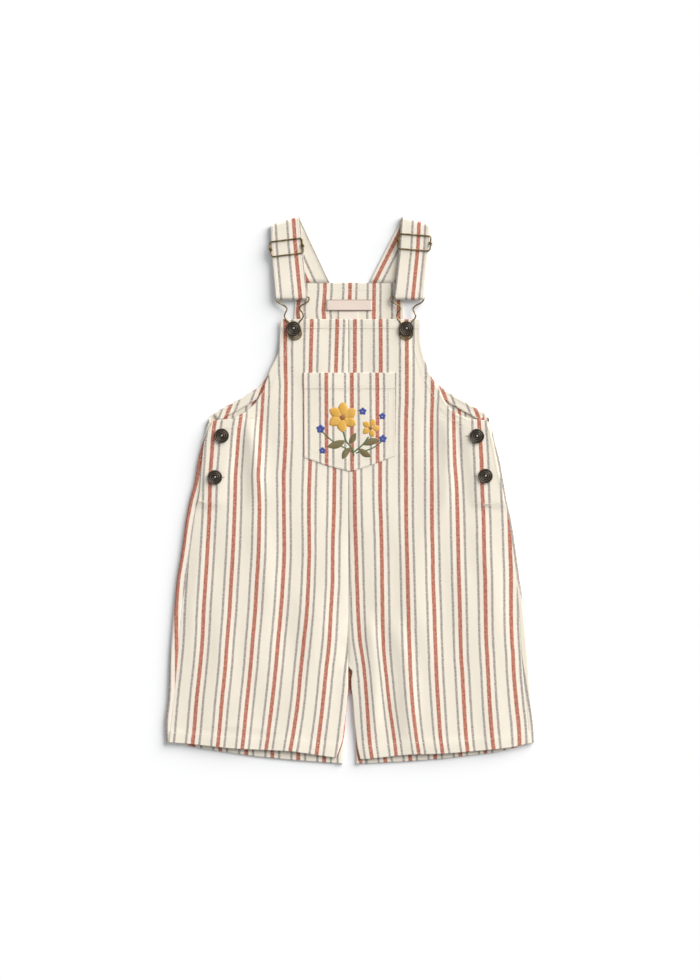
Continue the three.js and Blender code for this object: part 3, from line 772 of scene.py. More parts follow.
def satin_finish(name, colour, dark):
    """Embroidery in satin stitch: threads side by side, running across the shape's own map, with painted shade
    in the grooves between them.
    """
    finish = Finish(name, Roughness=0.55, Specular_IOR_Level=0.35, Sheen_Weight=0.1)
    uv = finish.node("ShaderNodeUVMap", {"uv_map": "Weave"})
    along, across, _ = finish.split(uv)
    lay = (along + across * 0.35 + finish.noise(uv, 0.9, 2.0) * 0.6) * (2 * math.pi / 0.55)
    ridge = lay.math("SINE") * 0.5 + 0.5
    tone = finish.noise(finish.join(along * 1.7, across * 0.4), 1.0, 3.0)
    # Colour is darker in the grooves of the thread lay (painted shade) and also varies in random tone
    finish.feed("Base Color", finish.mix(ridge * 0.35 + tone * 0.65, linear(dark), linear(colour)))
    finish.feed("Normal", finish.bump(ridge, 0.00012, 0.7))
    return finish.material


def metal_finish(name, colour, worn_and_highlit, roughness):
    """Antiqued metal, dark, and rubbed brighter in patches."""
    finish = Finish(name, Metallic=0.85, Specular_IOR_Level=0.5)
    place = finish.node("ShaderNodeTexCoord", {}, {}, output=3)
    patches = finish.noise(place, 260.0, 4.0, 0.6)
    fine = finish.noise(place, 1800.0, 2.0)
    wear_and_highlight = patches.between(0.42, 0.68)
    finish.feed("Base Color", finish.mix(wear_and_highlight, linear(colour), linear(worn_and_highlit)))
    finish.feed("Roughness", (1.0 - wear_and_highlight) * 0.18 + roughness + fine * 0.06)
    finish.feed("Normal", finish.bump(fine, 0.00008, 0.4))
    return finish.material


def button_finish(name, dark, crest, rivet):
    """Dark bronze, brighter on the ring crests (partly painted highlight, partly rubbed wear in patches) and
    paler on the rivet in the middle.
    """
    finish = Finish(name, Metallic=0.6, Specular_IOR_Level=0.5)
    place = finish.node("ShaderNodeTexCoord", {}, {}, output=3)
    uv = finish.node("ShaderNodeUVMap", {"uv_map": "Weave"})
    reach = finish.split(uv)[0]
    # Mask of the ring crests: painted highlight on the rings, broken up by rubbed wear where the patches allow
    wear_and_highlight = 0.0
    for ring in BUTTON_RINGS:
        apart = (reach - ring).math("ABSOLUTE")
        wear_and_highlight = (1.0 - apart.between(0.12, 0.55)) + wear_and_highlight
    patches = finish.noise(place, 520.0, 3.0, 0.6)
    worn_and_highlit = wear_and_highlight * patches.between(0.25, 0.6)
    # crest is the colour of the painted highlight and wear on the rings
    colour = finish.mix(worn_and_highlit * 0.8, linear(dark), linear(crest))
    middle = 1.0 - reach.between(0.55, 1.35)
    finish.feed("Base Color", finish.mix(middle * 0.9, colour, linear(rivet)))
    finish.feed("Roughness", patches * 0.12 + 0.38)
    finish.feed("Normal", finish.bump(patches, 0.00006, 0.4))
    return finish.material


def ribbon_finish(name, colour, edge, half_width):
    """Woven label tape with a dark thread along both edges; its map runs from -1 to 1 across."""
    finish = Finish(name, Roughness=0.75, Specular_IOR_Level=0.3)
    uv = finish.node("ShaderNodeUVMap", {"uv_map": "Weave"})
    along, across, _ = finish.split(uv)
    border = across.math("ABSOLUTE").between(0.84, 0.9)
    ribs = (across * (half_width * 2 * math.pi / 0.5)).math("SINE") * (along * 9.0).math("SINE")
    grain = finish.noise(finish.join(along * 1.4, across * 40.0), 1.0, 3.0)
    base = finish.mix(grain * 0.5, linear(colour), linear(tuple(c * 0.94 for c in colour)))
    finish.feed("Base Color", finish.mix(border * 0.75, base, linear(edge)))
    finish.feed("Normal", finish.bump(ribs, 0.00008, 0.5))
    return finish.material


def make_front(side, material):
    """Bib and leg of one side, cut in one."""
    sign = -1 if side == "left" else 1
    rows = heights(HEM_ROW, BIB_TOP, 3.2, FRONT_EDGE["up"])
    up = rows[:, None] * np.ones((1, 56))
    share = shares(54)[None, :]
    inner = np.where(up > 99.2, straight(FRONT_INNER, side, 99.2), curved(FRONT_INNER, side, up))
    armhole = straight(FRONT_EDGE, side, up)
    outer = np.where(abs(up - 350) < 12, armhole, curved(FRONT_EDGE, side, up))
    out = outer + share * (inner - outer)
    height = hem_height("front" + side, out, up)
    hemmed = 0.5 * smooth(HEM_ROW + 11.5, HEM_ROW + 10, up)
    bibbed = 0.4 * smooth(BIB_TOP - 9.5, BIB_TOP - 8.5, up)
    level = front_side_level(side, out, up)
    middle = garment(sign * out, height, level)
    uv = weave_uv(front_warp(side, out, up), height)
    normal = grid_normals(middle)
    normal = normal * np.sign(normal[..., 2:3])
    obj = shell("front_cloth_" + side, middle, normal, CLOTH, material, uv, extra=hemmed + bibbed)
    finish_cloth(obj, ["front_" + side], (188, 452), middle)
    return obj


def turn_up(edge, way, turn, run, steps, run_steps, radius=FOLD_RADIUS):
    """Section of cloth that turns up from the surface: an arc and a straight run after it."""
    angle = math.radians(turn)
    reach = radius if turn >= 90 else radius * math.sin(angle) + run * math.cos(angle)
    part = angle * np.linspace(0, 1, steps + 1)
    flat = run * np.linspace(0, 1, steps + 1) * steps / (steps + run_steps) if turn == 0 else 0
    out = edge - way * reach + way * (radius * np.sin(part) + flat)
    level = BACK_LEVEL + radius * (1 - np.cos(part))
    left = run if turn > 0 else run * run_steps / (steps + run_steps)
    after = left * np.linspace(0, 1, run_steps + 1)[1:]
    out = np.concatenate([out, out[-1] + way * after * math.cos(angle)])
    return out, np.concatenate([level, level[-1] + after * math.sin(angle)])


def side_turn(up):
    """Turn of the back's side, in degrees: a full fold below the opening's top and flat above."""
    return float(np.interp(up, (347.4, 353), (180, 0)))


def side_run(side, up):
    """Straight run of the cloth after the side fold."""
    if up > 353:
        return 4.0
    if up > 347.4:
        return 1.0
    if up > 346:
        return float(np.interp(up, (346, 347.4), (UNDERLAP, 1.0)))
    if up > PLACKET_FOOT + 2:
        return UNDERLAP
    fold = float(curved(BACK_EDGE, side, up)) - CLOTH / 2 - FOLD_RADIUS
    seamed = fold - float(curved(FRONT_EDGE, side, min(up, PLACKET_FOOT))) - 0.12
    share = float(smooth(PLACKET_FOOT, PLACKET_FOOT + 2, up))
    return seamed + share * (UNDERLAP - seamed)


def make_back(side, material):
    """Back bib and leg of one side, wrapping round the side and the inside leg."""
    sign = -1 if side == "left" else 1
    special = (
        72, 74, 76, 78, 80, 266.9, 268, 269, 346, 346.7, 347.4, 348, 348.8, 349.6, 350.4, 351.2, 352, 353,
    )
    rows = heights(HEM_ROW, BACK_TOP, 3.4, special)
    sections, paths, edges, legs = [], [], [], []
    for up in rows:
        edge = float(curved(BACK_EDGE, side, up)) - CLOTH / 2
        out_side, level_side = turn_up(edge, 1, side_turn(up), side_run(side, up), 8, 5)
        leg_turn = float(np.interp(up, (72, 80), (180, 0)))
        fold = float(curved(LEG_FOLD, side, up))
        leg_edge = fold + (CLOTH / 2 if leg_turn > 0 else 0)
        leg_run = float(np.interp(up, (70, 77, 80), (LEG_RUN, 0.6, 3)))
        out_leg, level_leg = turn_up(leg_edge, -1, leg_turn, leg_run, 6, 3, LEG_RADIUS)
        floor = np.linspace(out_leg[0], out_side[0], 34)[1:-1]
        out = np.concatenate([out_leg[::-1], floor, out_side])
        level = np.concatenate([level_leg[::-1], np.full(32, BACK_LEVEL), level_side])
        step = np.hypot(np.diff(out), np.diff(level))
        path = np.concatenate([[0], np.cumsum(step)])
        first = len(out_leg) - 1
        path += out[first] - path[first]
        sections.append(np.stack([out, level], -1))
        paths.append(path)
        edges.append(np.interp(edge, out[: np.argmax(out) + 1][first:], path[: np.argmax(out) + 1][first:]))
        legs.append(path[first - 3] if leg_turn > 90 else out[0])
    section = np.array(sections)
    up = rows[:, None] * np.ones(section.shape[:2])
    out, level = section[..., 0], section[..., 1]
    height = hem_height("back" + side, out, up)
    middle = garment(sign * out, height, level)
    path, edge_path, leg_path = np.array(paths), np.array(edges)[:, None], np.array(legs)[:, None]
    uv = weave_uv(back_warp(side, path, edge_path, leg_path, up), height)
    normal = section_normals(middle) * -sign
    hemmed = 0.9 * smooth(HEM_ROW + HEM_BAND * 0.8, HEM_ROW + HEM_BAND * 0.7, up)
    obj = shell("back_cloth_" + side, middle, normal, CLOTH, material, uv, extra=hemmed)
    finish_cloth(obj, ["back_" + side], (228, 492), middle)
    return obj


def make_facing(side, material):
    """Facing along the back armhole, on the inside of the back."""
    sign = -1 if side == "left" else 1
    up = np.linspace(356.5, 419.5, 44)
    edge = curved(BACK_EDGE, side, up)
    slope = np.gradient(edge, up)
    length = np.hypot(slope, 1)
    depth = np.concatenate([[0.6, 1.0], np.linspace(2, FACING_WIDTH - 0.4, 6), [FACING_WIDTH]])[None, :]
    out = edge[:, None] - depth / length[:, None]
    height = up[:, None] + depth * (slope / length)[:, None]
    level = BACK_LEVEL + SOLID_CLOTH + 0.25 + 0.15 * np.sin(height / 4.5)
    middle = garment(sign * out, height, level)
    red_out, red_up = FACING_RED[side]
    uv = weave_uv((out - red_out + FACING_LEAN * (height - red_up)) / PITCH, height)
    normal = grid_normals(middle)
    normal = normal * np.sign(normal[..., 2:3])
    obj = shell("facing_cloth_" + side, middle, normal, 0.9, material, uv)
    finish_cloth(obj, ["back_facing_" + side], (10, 97), middle)
    return obj


def pocket_point(share, rise):
    """Point of the pocket: share across from its left edge, rise from its foot to its top."""
    foot = straight(POCKET, "foot", share)
    foot_x = straight(POCKET, "footX", share)
    x = foot_x + rise * (straight(POCKET, "topX", share) - foot_x)
    return x, foot + rise * (POCKET_TOP - foot)


def pocket_level(x, up):
    swell = 0.3 * np.exp(-(((up - 340) / 40) ** 2) - (x / 34) ** 2)
    return front_level(x, up) + (CLOTH + POCKET_CLOTH) / 2 + 0.05 + swell


def make_pocket(material):
    """Patch pocket with a pointed foot."""
    across = shares(46)
    rise = np.concatenate([[0, 0.006], np.linspace(0, 1, 40)[1:-1], [0.994, 1]])
    share, lift = np.meshgrid(across, rise)
    x, up = pocket_point(share, lift)
    middle = garment(x, up, pocket_level(x, up))
    hemmed = 0.35 * smooth(POCKET_TOP - 16.4, POCKET_TOP - 15.4, up)
    reds = np.array([-74.5, -48.5, -24.0, 2.0, 27.9, 54.0])
    uv = weave_uv(np.interp(x + (up - 350) * 0.004, reds, np.arange(6)), up)
    normal = grid_normals(middle)
    normal = normal * np.sign(normal[..., 2:3])
    obj = shell("pocket_cloth", middle, normal, POCKET_CLOTH, material, uv, extra=hemmed)
    finish_cloth(obj, ["chest_pocket"], (95.2, 100.5), middle)
    return obj


def strap_stations(shape):
    """Left and right edges of a strap along its length, with the level of its middle."""
    left, right, level = [], [], []

    def place(pair, height, push=(0.0, 0.0)):
        left.append((pair[0][0] + push[0], pair[0][1] + push[1]))
        right.append((pair[1][0] + push[0], pair[1][1] + push[1]))
        level.append(height)

    def between(start, end, share):
        return [tuple(a + share * (b - a) for a, b in zip(p, q)) for p, q in zip(start, end)]

    def stretch(start, end, low, high, count, last=False):
        for share in np.linspace(0, 1, count + 1)[: count + (1 if last else 0)]:
            ease = float(smooth(0, 1, share))
            place(between(start, end, share), low + ease * (high - low))

    def turn(axis, radius, middle, way, rising):
        along = np.subtract(axis[1], axis[0])
        along = along / np.linalg.norm(along)
        outwards = np.array([-along[1], along[0]]) * way
        for share in np.linspace(0, 1, 13):
            angle = math.pi * share
            push = outwards * radius * math.sin(angle)
            place(axis, middle - rising * radius * math.cos(angle), tuple(push))

    shoulder_radius = (STRAP_FRONT_LEVEL - STRAP_BACK_LEVEL) / 2
    stretch(shape["sewn"], shape["shoulder"], STRAP_BACK_LEVEL, STRAP_BACK_LEVEL, 14)
    turn(shape["shoulder"], shoulder_radius, STRAP_BACK_LEVEL + shoulder_radius, 1, 1)
    stretch(shape["shoulder"], shape["slider"], STRAP_FRONT_LEVEL, STRAP_FRONT_LEVEL, 6)
    stretch(shape["slider"], shape["below"], STRAP_FRONT_LEVEL, STRAP_FRONT_LEVEL, 4)
    loop_middle = LOOP_RETURN_LEVEL + LOOP_RADIUS
    stretch(shape["below"], shape["loop"], STRAP_FRONT_LEVEL, loop_middle + LOOP_RADIUS, 12)
    turn(shape["loop"], LOOP_RADIUS, loop_middle, -1, -1)
    stretch(shape["loop"], shape["below"], LOOP_RETURN_LEVEL, STRAP_RETURN_LEVEL, 10)
    stretch(shape["below"], shape["return_end"], STRAP_RETURN_LEVEL, STRAP_RETURN_LEVEL, 4, last=True)
    return np.array(left), np.array(right), np.array(level)


def make_strap(side, material):
    """Strap: back run, turn at the shoulder, front run, loop round the clip and return."""
    shape = STRAPS[side]
    left, right, level = strap_stations(shape)
    keep = [0]
    for i in range(1, len(level)):
        step = math.dist(left[i], left[keep[-1]]) + abs(level[i] - level[keep[-1]])
        if step > 0.15:
            keep.append(i)
    left, right, level = left[keep], right[keep], level[keep]
    share = shares(16)
    share = np.concatenate([[0, 0.018], share[2:-2], [0.982, 1]])[None, :]
    x = left[:, :1] + share * (right[:, :1] - left[:, :1])
    up = left[:, 1:] + share * (right[:, 1:] - left[:, 1:])
    cup = 0.22 * np.sin(math.pi * share)
    middle = garment(x, up, level[:, None] + 0 * share)
    normal = grid_normals(middle)
    first_up = normal[0, normal.shape[1] // 2, 2]
    normal = normal * (-1 if first_up > 0 else 1)
    middle = middle + normal * cup[..., None] * MM * 0.5
    across = share * STRAP_WIDTH
    step = np.linalg.norm(np.diff(middle[:, 8], axis=0), axis=1) / MM
    along = np.concatenate([[0], np.cumsum(step)])[:, None]
    upper = weave_uv(np.maximum((across - shape["upper_red"]) / PITCH, -0.9), along + 0 * across)
    lower = weave_uv((across - shape["lower_red"]) / PITCH, along + 0 * across)
    obj = shell("strap_cloth_" + side, middle, normal, STRAP, material, upper, lower)
    finish_cloth(obj, ["strap_" + side], (32, 207), middle)
    return obj


def make_label(name, box, node, material, level):
    left, right, foot, top = box
    x, up = np.meshgrid(np.linspace(left, right, 26), np.linspace(foot, top, 12))
    rise = level + 0.25 * np.sin((x - left) / 11.0) * smooth(top, foot, up)
    middle = garment(x, up, rise)
    uv = np.stack([x / 2, (up - (foot + top) / 2) / ((top - foot) / 2)], -1)
    normal = grid_normals(middle)
    normal = normal * np.sign(normal[..., 2:3])
    obj = shell(name, middle, normal, 0.5, material, uv)
    flat = (right - left + 0.5, top - foot + 0.5)
    finish_cloth(obj, [node], flat, middle)
    return obj


def sweep(points, radius, sides=12, closed=False):
    """Vertices and faces of a round wire along points in millimetres of the frame's axes."""
    points = np.asarray(points, float)
    ahead = np.roll(points, -1, 0) - np.roll(points, 1, 0) if closed else np.gradient(points, axis=0)
    ahead = ahead / np.linalg.norm(ahead, axis=1, keepdims=True)
    side = np.cross(ahead, (0.0, 0.0, 1.0))
    weak = np.linalg.norm(side, axis=1) < 0.25
    side[weak] = np.cross(ahead[weak], (0.0, 1.0, 0.0))
    for i in range(1, len(points)):
        carried = side[i - 1] - ahead[i] * np.dot(side[i - 1], ahead[i])
        side[i] = carried
    side = side / np.linalg.norm(side, axis=1, keepdims=True)
    rise = np.cross(side, ahead)
    angle = np.linspace(0, 2 * math.pi, sides, endpoint=False)
    ring = np.cos(angle)[None, :, None] * side[:, None] + np.sin(angle)[None, :, None] * rise[:, None]
    vertices = (points[:, None] + ring * radius).reshape(-1, 3)
    count = len(points)
    faces = []
    for i in range(count if closed else count - 1):
        for k in range(sides):
            a, b = i * sides + k, i * sides + (k + 1) % sides
            c, d = ((i + 1) % count) * sides + (k + 1) % sides, ((i + 1) % count) * sides + k
            faces.append((a, b, c, d))
    if not closed:
        faces.append(tuple(range(sides))[::-1])
        faces.append(tuple((count - 1) * sides + k for k in range(sides)))
    return vertices, faces


def rounded(points, count, closed=False):
    """Smooth route through points, in even steps."""
    points = np.asarray(points, float)
    if closed:
        points = np.concatenate([points[-1:], points, points[:2]])
    else:
        points = np.concatenate([2 * points[:1] - points[1:2], points, 2 * points[-1:] - points[-2:-1]])
    fine = []
    for a, b, c, d in zip(points, points[1:], points[2:], points[3:]):
        for t in np.linspace(0, 1, 12, endpoint=False):
            bend = (2 * a - 5 * b + 4 * c - d) * t**2
            twist = (3 * b - a - 3 * c + d) * t**3
            fine.append(0.5 * (2 * b + (c - a) * t + bend + twist))
    if not closed:
        fine.append(points[-2])
    fine = np.array(fine)
    loop = np.concatenate([fine, fine[:1]]) if closed else fine
    reach = np.concatenate([[0], np.cumsum(np.linalg.norm(np.diff(loop, axis=0), axis=1))])
    at = np.linspace(0, reach[-1], count, endpoint=not closed)
    return np.stack([np.interp(at, reach, loop[:, k]) for k in range(3)], -1)


def join_parts(name, parts, material, uv=None):
    """One object from several closed forms, each (vertices in mm, faces)."""
    vertices, faces, start = [], [], 0
    for points, part_faces in parts:
        faces += [[start + k for k in face] for face in outward(points, part_faces)]
        vertices.append(np.asarray(points, float) * MM)
        start += len(points)
    return closed_mesh(name, np.concatenate(vertices), faces, material, uv)


def finish_hard(obj, node):
    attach(obj, "root")
    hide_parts(node)


def in_frame(points, centre, tilt):
    """Points about a piece's own middle, turned and placed in millimetres of the frame."""
    angle = math.radians(tilt)
    points = np.asarray(points, float)
    x = points[:, 0] * math.cos(angle) - points[:, 1] * math.sin(angle) + centre[0]
    y = points[:, 0] * math.sin(angle) + points[:, 1] * math.cos(angle) + centre[1] - HALF_LENGTH
    return np.stack([x, y, points[:, 2]], -1)


def make_slider(side, material):
    """Wire frame over the strap, a bar under it, and a coil of the bar round each side."""
    shape = STRAPS[side]
    level = STRAP_FRONT_LEVEL + STRAP / 2 + 0.15 + WIRE
    w, h, r = SLIDER_HALF_WIDTH, SLIDER_HALF_HEIGHT, 2.6
    outline = []
    for cx, cy, start in ((w - r, h - r, 0), (r - w, h - r, 90), (r - w, r - h, 180), (w - r, r - h, 270)):
        for step in range(5):
            angle = math.radians(start + 22.5 * step)
            dip = 0.35 * (1 - abs(cy) / h)
            outline.append((cx + r * math.cos(angle), cy + r * math.sin(angle), level - dip))
    frame_wire = rounded(outline, 96, closed=True)
    bar = [(-w, 0, level), (-w, 0, 4.6), (-w + 0.6, 0, 3.1), (-w + 2.4, 0, STRAP_RETURN_LEVEL)]
    bar = bar + [(-x, y, z) for x, y, z in reversed(bar)]
    parts = [sweep(in_frame(frame_wire, shape["slider_centre"], shape["slider_tilt"]), WIRE, 12, True)]
    bar_wire = rounded(bar, 48)
    parts.append(sweep(in_frame(bar_wire, shape["slider_centre"], shape["slider_tilt"]), WIRE * 0.92, 10))
    for end in (-1, 1):
        turns = np.linspace(0, 1.75 * 2 * math.pi, 40)
        coil = np.stack([
            end * w + 1.25 * np.cos(turns), -1.5 + 3.0 * turns / turns[-1], level + 1.25 * np.sin(turns),
        ], -1)
        parts.append(sweep(in_frame(coil, shape["slider_centre"], shape["slider_tilt"]), WIRE * 0.8, 8))
    obj = join_parts("slider_wire_" + side, parts, material)
    finish_hard(obj, "slider_" + side)
    return obj


def clip_level(up, lying):
    return lying + (LOOP_RETURN_LEVEL + LOOP_RADIUS - lying) * float(smooth(12, 27, up))


def make_clip(side, material):
    """Bent wire clip: a bar in the strap's loop, a waist, and an eye round the button's shank."""
    sign = STRAPS[side]["sign"]
    shift = STRAPS[side]["eye_shift"]
    centre = (sign * BIB_BUTTON[0], BIB_BUTTON[1])
    lying = front_top(*centre) + 0.1 + WIRE
    way = -sign

    def eye(radius, start, end, count):
        turn = np.radians(np.linspace(start, end, count))
        return [(shift + radius * math.cos(a), CLIP_EYE_CENTRE + radius * math.sin(a)) for a in turn]

    round_button = eye(CLIP_EYE_RADIUS, 158, 382, 12)
    route = [(-1.0, CLIP_BAR), *CLIP_OUTER_SIDE, *round_button, *CLIP_INNER_SIDE, (0.0, CLIP_BAR)]
    outer = [(way * x, y, clip_level(y, lying)) for x, y in route]
    parts = [sweep(in_frame(rounded(outer, 230), centre, 0), WIRE, 12)]
    for step in (1, 2):
        ring = eye(CLIP_EYE_RADIUS - step * EYE_SPACING, 150, 390, 20)
        inner = [(way * x, y, lying + 0.15 * step) for x, y in ring]
        parts.append(sweep(in_frame(rounded(inner, 60), centre, 0), EYE_WIRE, 10))
    obj = join_parts("clip_wire_" + side, parts, material)
    finish_hard(obj, "clip_" + side)
    return obj


def lathe(profile, segments=56):
    """Vertices and faces of a turned form from (radius, level) pairs that start and end on its axis."""
    vertices = [(0.0, 0.0, profile[0][1])]
    rings = profile[1:-1]
    for radius, level in rings:
        for k in range(segments):
            angle = 2 * math.pi * k / segments
            vertices.append((radius * math.cos(angle), radius * math.sin(angle), level))
    vertices.append((0.0, 0.0, profile[-1][1]))
    last = len(vertices) - 1
    faces = []
    for k in range(segments):
        after = (k + 1) % segments
        faces.append((0, 1 + after, 1 + k))
        for ring in range(len(rings) - 1):
            low, high = 1 + ring * segments, 1 + (ring + 1) * segments
            faces.append((low + k, low + after, high + after, high + k))
        top = 1 + (len(rings) - 1) * segments
        faces.append((top + k, top + after, last))
    return vertices, faces


def button_profile(shank):
    """Half section of a tack button: shank, rolled rim, turned rings and a rivet in the middle."""
    r = BUTTON_RADIUS
    profile = [(0, -shank), (2.3, -shank), (2.4, -0.2), (2.6, 0), (r - 1.2, 0), (r - 0.3, 0.25), (r, 0.7)]
    profile += [(r - 0.05, 1.2), (r - 0.3, 1.6), (BUTTON_RINGS[0], 1.8)]
    for crest, height in zip(BUTTON_RINGS, (1.8, 1.65, 1.55)):
        profile += [(crest - 0.35, height - 0.12), (crest - 0.6, height - 0.45), (crest - 0.9, height - 0.6)]
        profile += [(crest - 1.2, height - 0.55), (crest - 1.5, height - 0.3)]
        if crest > BUTTON_RINGS[-1]:
            profile.append((crest - 1.8, height - 0.16))
    return profile + [(RIVET_RADIUS - 0.05, 1.7), (0.9, 1.95), (0.4, 2.05), (0, 2.05)]


def make_button(name, node, x, up, shank, material):
    """Tack button, whose map holds each point's distance from its middle in millimetres."""
    points, faces = lathe(button_profile(shank))
    reach = np.hypot(*np.array(points)[:, :2].T)
    placed = in_frame(points, (x, up), 0)
    placed[:, 2] += front_top(x, up) + 0.12 + shank
    obj = join_parts(name, [(placed, faces)], material, np.stack([reach, placed[:, 2]], -1))
    finish_hard(obj, node)
    return obj


STITCH_LENGTH = 2.3
STITCH_SPACING = 2.9


def stitch_tree(name, material):
    """Geometry Nodes tree that lays a stitch at even steps along every line."""
    tree = bpy.data.node_groups.new(name, "GeometryNodeTree")
    tree.interface.new_socket("Lines", in_out="INPUT", socket_type="NodeSocketGeometry")
    for label, default in (("Spacing", STITCH_SPACING), ("Length", STITCH_LENGTH), ("Radius", 0.24)):
        socket = tree.interface.new_socket(label, in_out="INPUT", socket_type="NodeSocketFloat")
        socket.default_value = default * MM
    tree.interface.new_socket("Stitches", in_out="OUTPUT", socket_type="NodeSocketGeometry")

    def add(kind, inputs=None, **settings):
        node = tree.nodes.new(kind)
        for key, value in settings.items():
            setattr(node, key, value)
        for key, value in (inputs or {}).items():
            if isinstance(value, bpy.types.NodeSocket):
                tree.links.new(value, node.inputs[key])
            else:
                node.inputs[key].default_value = value
        return node

    given = add("NodeGroupInput")
    along = {"Curve": given.outputs["Lines"], "Length": given.outputs["Spacing"]}
    points = add("GeometryNodeCurveToPoints", along, mode="LENGTH")
    half = add("ShaderNodeMath", {0: given.outputs["Length"], 1: 0.5}, operation="MULTIPLY")
    radius = given.outputs["Radius"]
    size = add("ShaderNodeCombineXYZ", {"X": half.outputs[0], "Y": radius, "Z": radius})
    bead = add("GeometryNodeMeshUVSphere", {"Segments": 6, "Rings": 4, "Radius": 1.0})
    turned = add("GeometryNodeTransform", {"Geometry": bead.outputs[0], "Rotation": (0.0, math.pi / 2, 0.0)})
    shaped = add("GeometryNodeTransform", {"Geometry": turned.outputs[0], "Scale": size.outputs[0]})
    aim = add("FunctionNodeAlignRotationToVector", {"Vector": points.outputs["Tangent"]}, axis="X")
    jitter = add("FunctionNodeRandomValue", {2: -0.06, 3: 0.06, "Seed": 7}, data_type="FLOAT")
    spin = add("ShaderNodeCombineXYZ", {"Z": jitter.outputs[1]})
    turn = add("FunctionNodeRotateRotation", {"Rotation": aim.outputs[0], "Rotate By": spin.outputs[0]})
    laid = add("GeometryNodeInstanceOnPoints", {
        "Points": points.outputs["Points"], "Instance": shaped.outputs[0], "Rotation": turn.outputs[0],
    })
    real = add("GeometryNodeRealizeInstances", {0: laid.outputs[0]})
    painted = add("GeometryNodeSetMaterial", {"Geometry": real.outputs[0], "Material": material})
    add("NodeGroupOutput", {0: painted.outputs[0]})
    return tree


def lay_stitches(name, lines, tree, sizes=None):
    """Stitches along lines of points in metres, made a plain mesh."""
    data = bpy.data.curves.new(name + "_lines", "CURVE")
    data.dimensions = "3D"
    for line in lines:
        spline = data.splines.new("POLY")
        spline.points.add(len(line) - 1)
        for point, place in zip(spline.points, line):
            point.co = (*place, 1.0)
    guide = bpy.data.objects.new(name + "_lines", data)
    bpy.context.scene.collection.objects.link(guide)
    modifier = guide.modifiers.new("Stitches", "NODES")
    modifier.node_group = tree
    sockets = {item.name: item.identifier for item in tree.interface.items_tree if item.in_out == "INPUT"}
    for label, value in (sizes or {}).items():
        modifier[sockets[label]] = value * MM
    bpy.context.view_layer.update()
    done = guide.evaluated_get(bpy.context.evaluated_depsgraph_get())
    mesh = bpy.data.meshes.new_from_object(done, depsgraph=bpy.context.evaluated_depsgraph_get())
    mesh.name = name
    bpy.data.objects.remove(guide)
    obj = bpy.data.objects.new(name, mesh)
    bpy.context.scene.collection.objects.link(obj)
    mesh.shade_smooth()
    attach(obj, "root")
    return obj


def line_on_front(points, step=1.5, proud=0.12):
    """Even points on top of the front cloth, along corners given as (x, up) in millimetres."""
    points = np.asarray(points, float)
    reach = np.concatenate([[0], np.cumsum(np.hypot(*np.diff(points, axis=0).T))])
    at = np.arange(0, reach[-1], step)
    x, up = np.interp(at, reach, points[:, 0]), np.interp(at, reach, points[:, 1])
    return garment(x, up, front_level(x, up) + CLOTH / 2 + proud)


def front_lines():
    """Topstitching of the fronts: hems, bib edges, armholes, side openings and centre seam."""
    lines = []
    for side, sign in (("left", -1), ("right", 1)):
        out = np.arange(15 if side == "left" else 13, float(straight(FRONT_EDGE, side, 30)) - 1, 1.5)
        row = HEM_ROW + 10.4
        height = hem_height("front" + side, out, np.full_like(out, row))
        level = front_side_level(side, out, np.full_like(out, row)) + CLOTH / 2 + 0.45
        lines.append(garment(sign * out, height, level))
        up = np.arange(352.5, BIB_TOP - 1, 1.5)
        edge = straight(FRONT_EDGE, side, up)
        slope = np.gradient(edge, up)
        length = np.hypot(slope, 1)
        for inset in (1.8, 7.6):
            x = sign * (edge - inset / length)
            height = up + inset * slope / length
            keep = height < BIB_TOP - 2
            lines.append(line_on_front(np.stack([x[keep], height[keep]], -1)))
        up = np.arange(PLACKET_FOOT + 1, PLACKET_TOP - 3, 1.5)
        x = sign * (straight(FRONT_EDGE, side, up) - 1.8)
        lines.append(line_on_front(np.stack([x, up], -1)))
        top = sign * np.array([float(straight(FRONT_EDGE, side, PLACKET_TOP - 9)) - 2, 112])
        lines.append(line_on_front([(top[0], PLACKET_TOP - 8.4), (top[1], PLACKET_TOP - 6)]))
    up = BIB_TOP - 8.6
    for start, end in ((-69.2, CENTRE_FRONT - 1), (CENTRE_FRONT + 1, 70.0)):
        lines.append(line_on_front([(start, up), (end, up)], proud=0.5))
    beside_seam = CENTRE_FRONT + 2.2
    lines.append(line_on_front([(beside_seam, BIB_TOP - 1), (beside_seam, POCKET_TOP + 1)]))
    lines.append(line_on_front([(beside_seam, 296), (beside_seam, 104)]))
    return lines


def pocket_lines():
    """Topstitching of the pocket: its edge twice round and the hem across its top."""
    lines = []
    for inset in (1.6, 7.4):
        corners = []
        for share, rise in ((0, 0.985), (0, 0), (0.25, 0), (0.5, 0), (0.75, 0), (1, 0), (1, 0.985)):
            x, up = pocket_point(np.array(share), np.array(rise))
            corners.append((float(x), float(up)))
        corners = np.array(corners)
        corners[:, 0] = np.clip(corners[:, 0], -47.3 + inset, 46.7 - inset)
        corners[1:-1, 1] += inset * np.array([1.1, 1.06, 1.15, 1.06, 1.1])
        if inset > 5:
            corners[[0, -1], 1] = POCKET_TOP - 15.6
        reach = np.concatenate([[0], np.cumsum(np.hypot(*np.diff(corners, axis=0).T))])
        at = np.arange(0, reach[-1], 1.5)
        x, up = np.interp(at, reach, corners[:, 0]), np.interp(at, reach, corners[:, 1])
        lines.append(garment(x, up, pocket_level(x, up) + POCKET_CLOTH / 2 + 0.1))
    x = np.arange(-46.0, 45.6, 1.5)
    up = np.full_like(x, POCKET_TOP - 15.6)
    lines.append(garment(x, up, pocket_level(x, up) + POCKET_CLOTH / 2 + 0.4))
    return lines


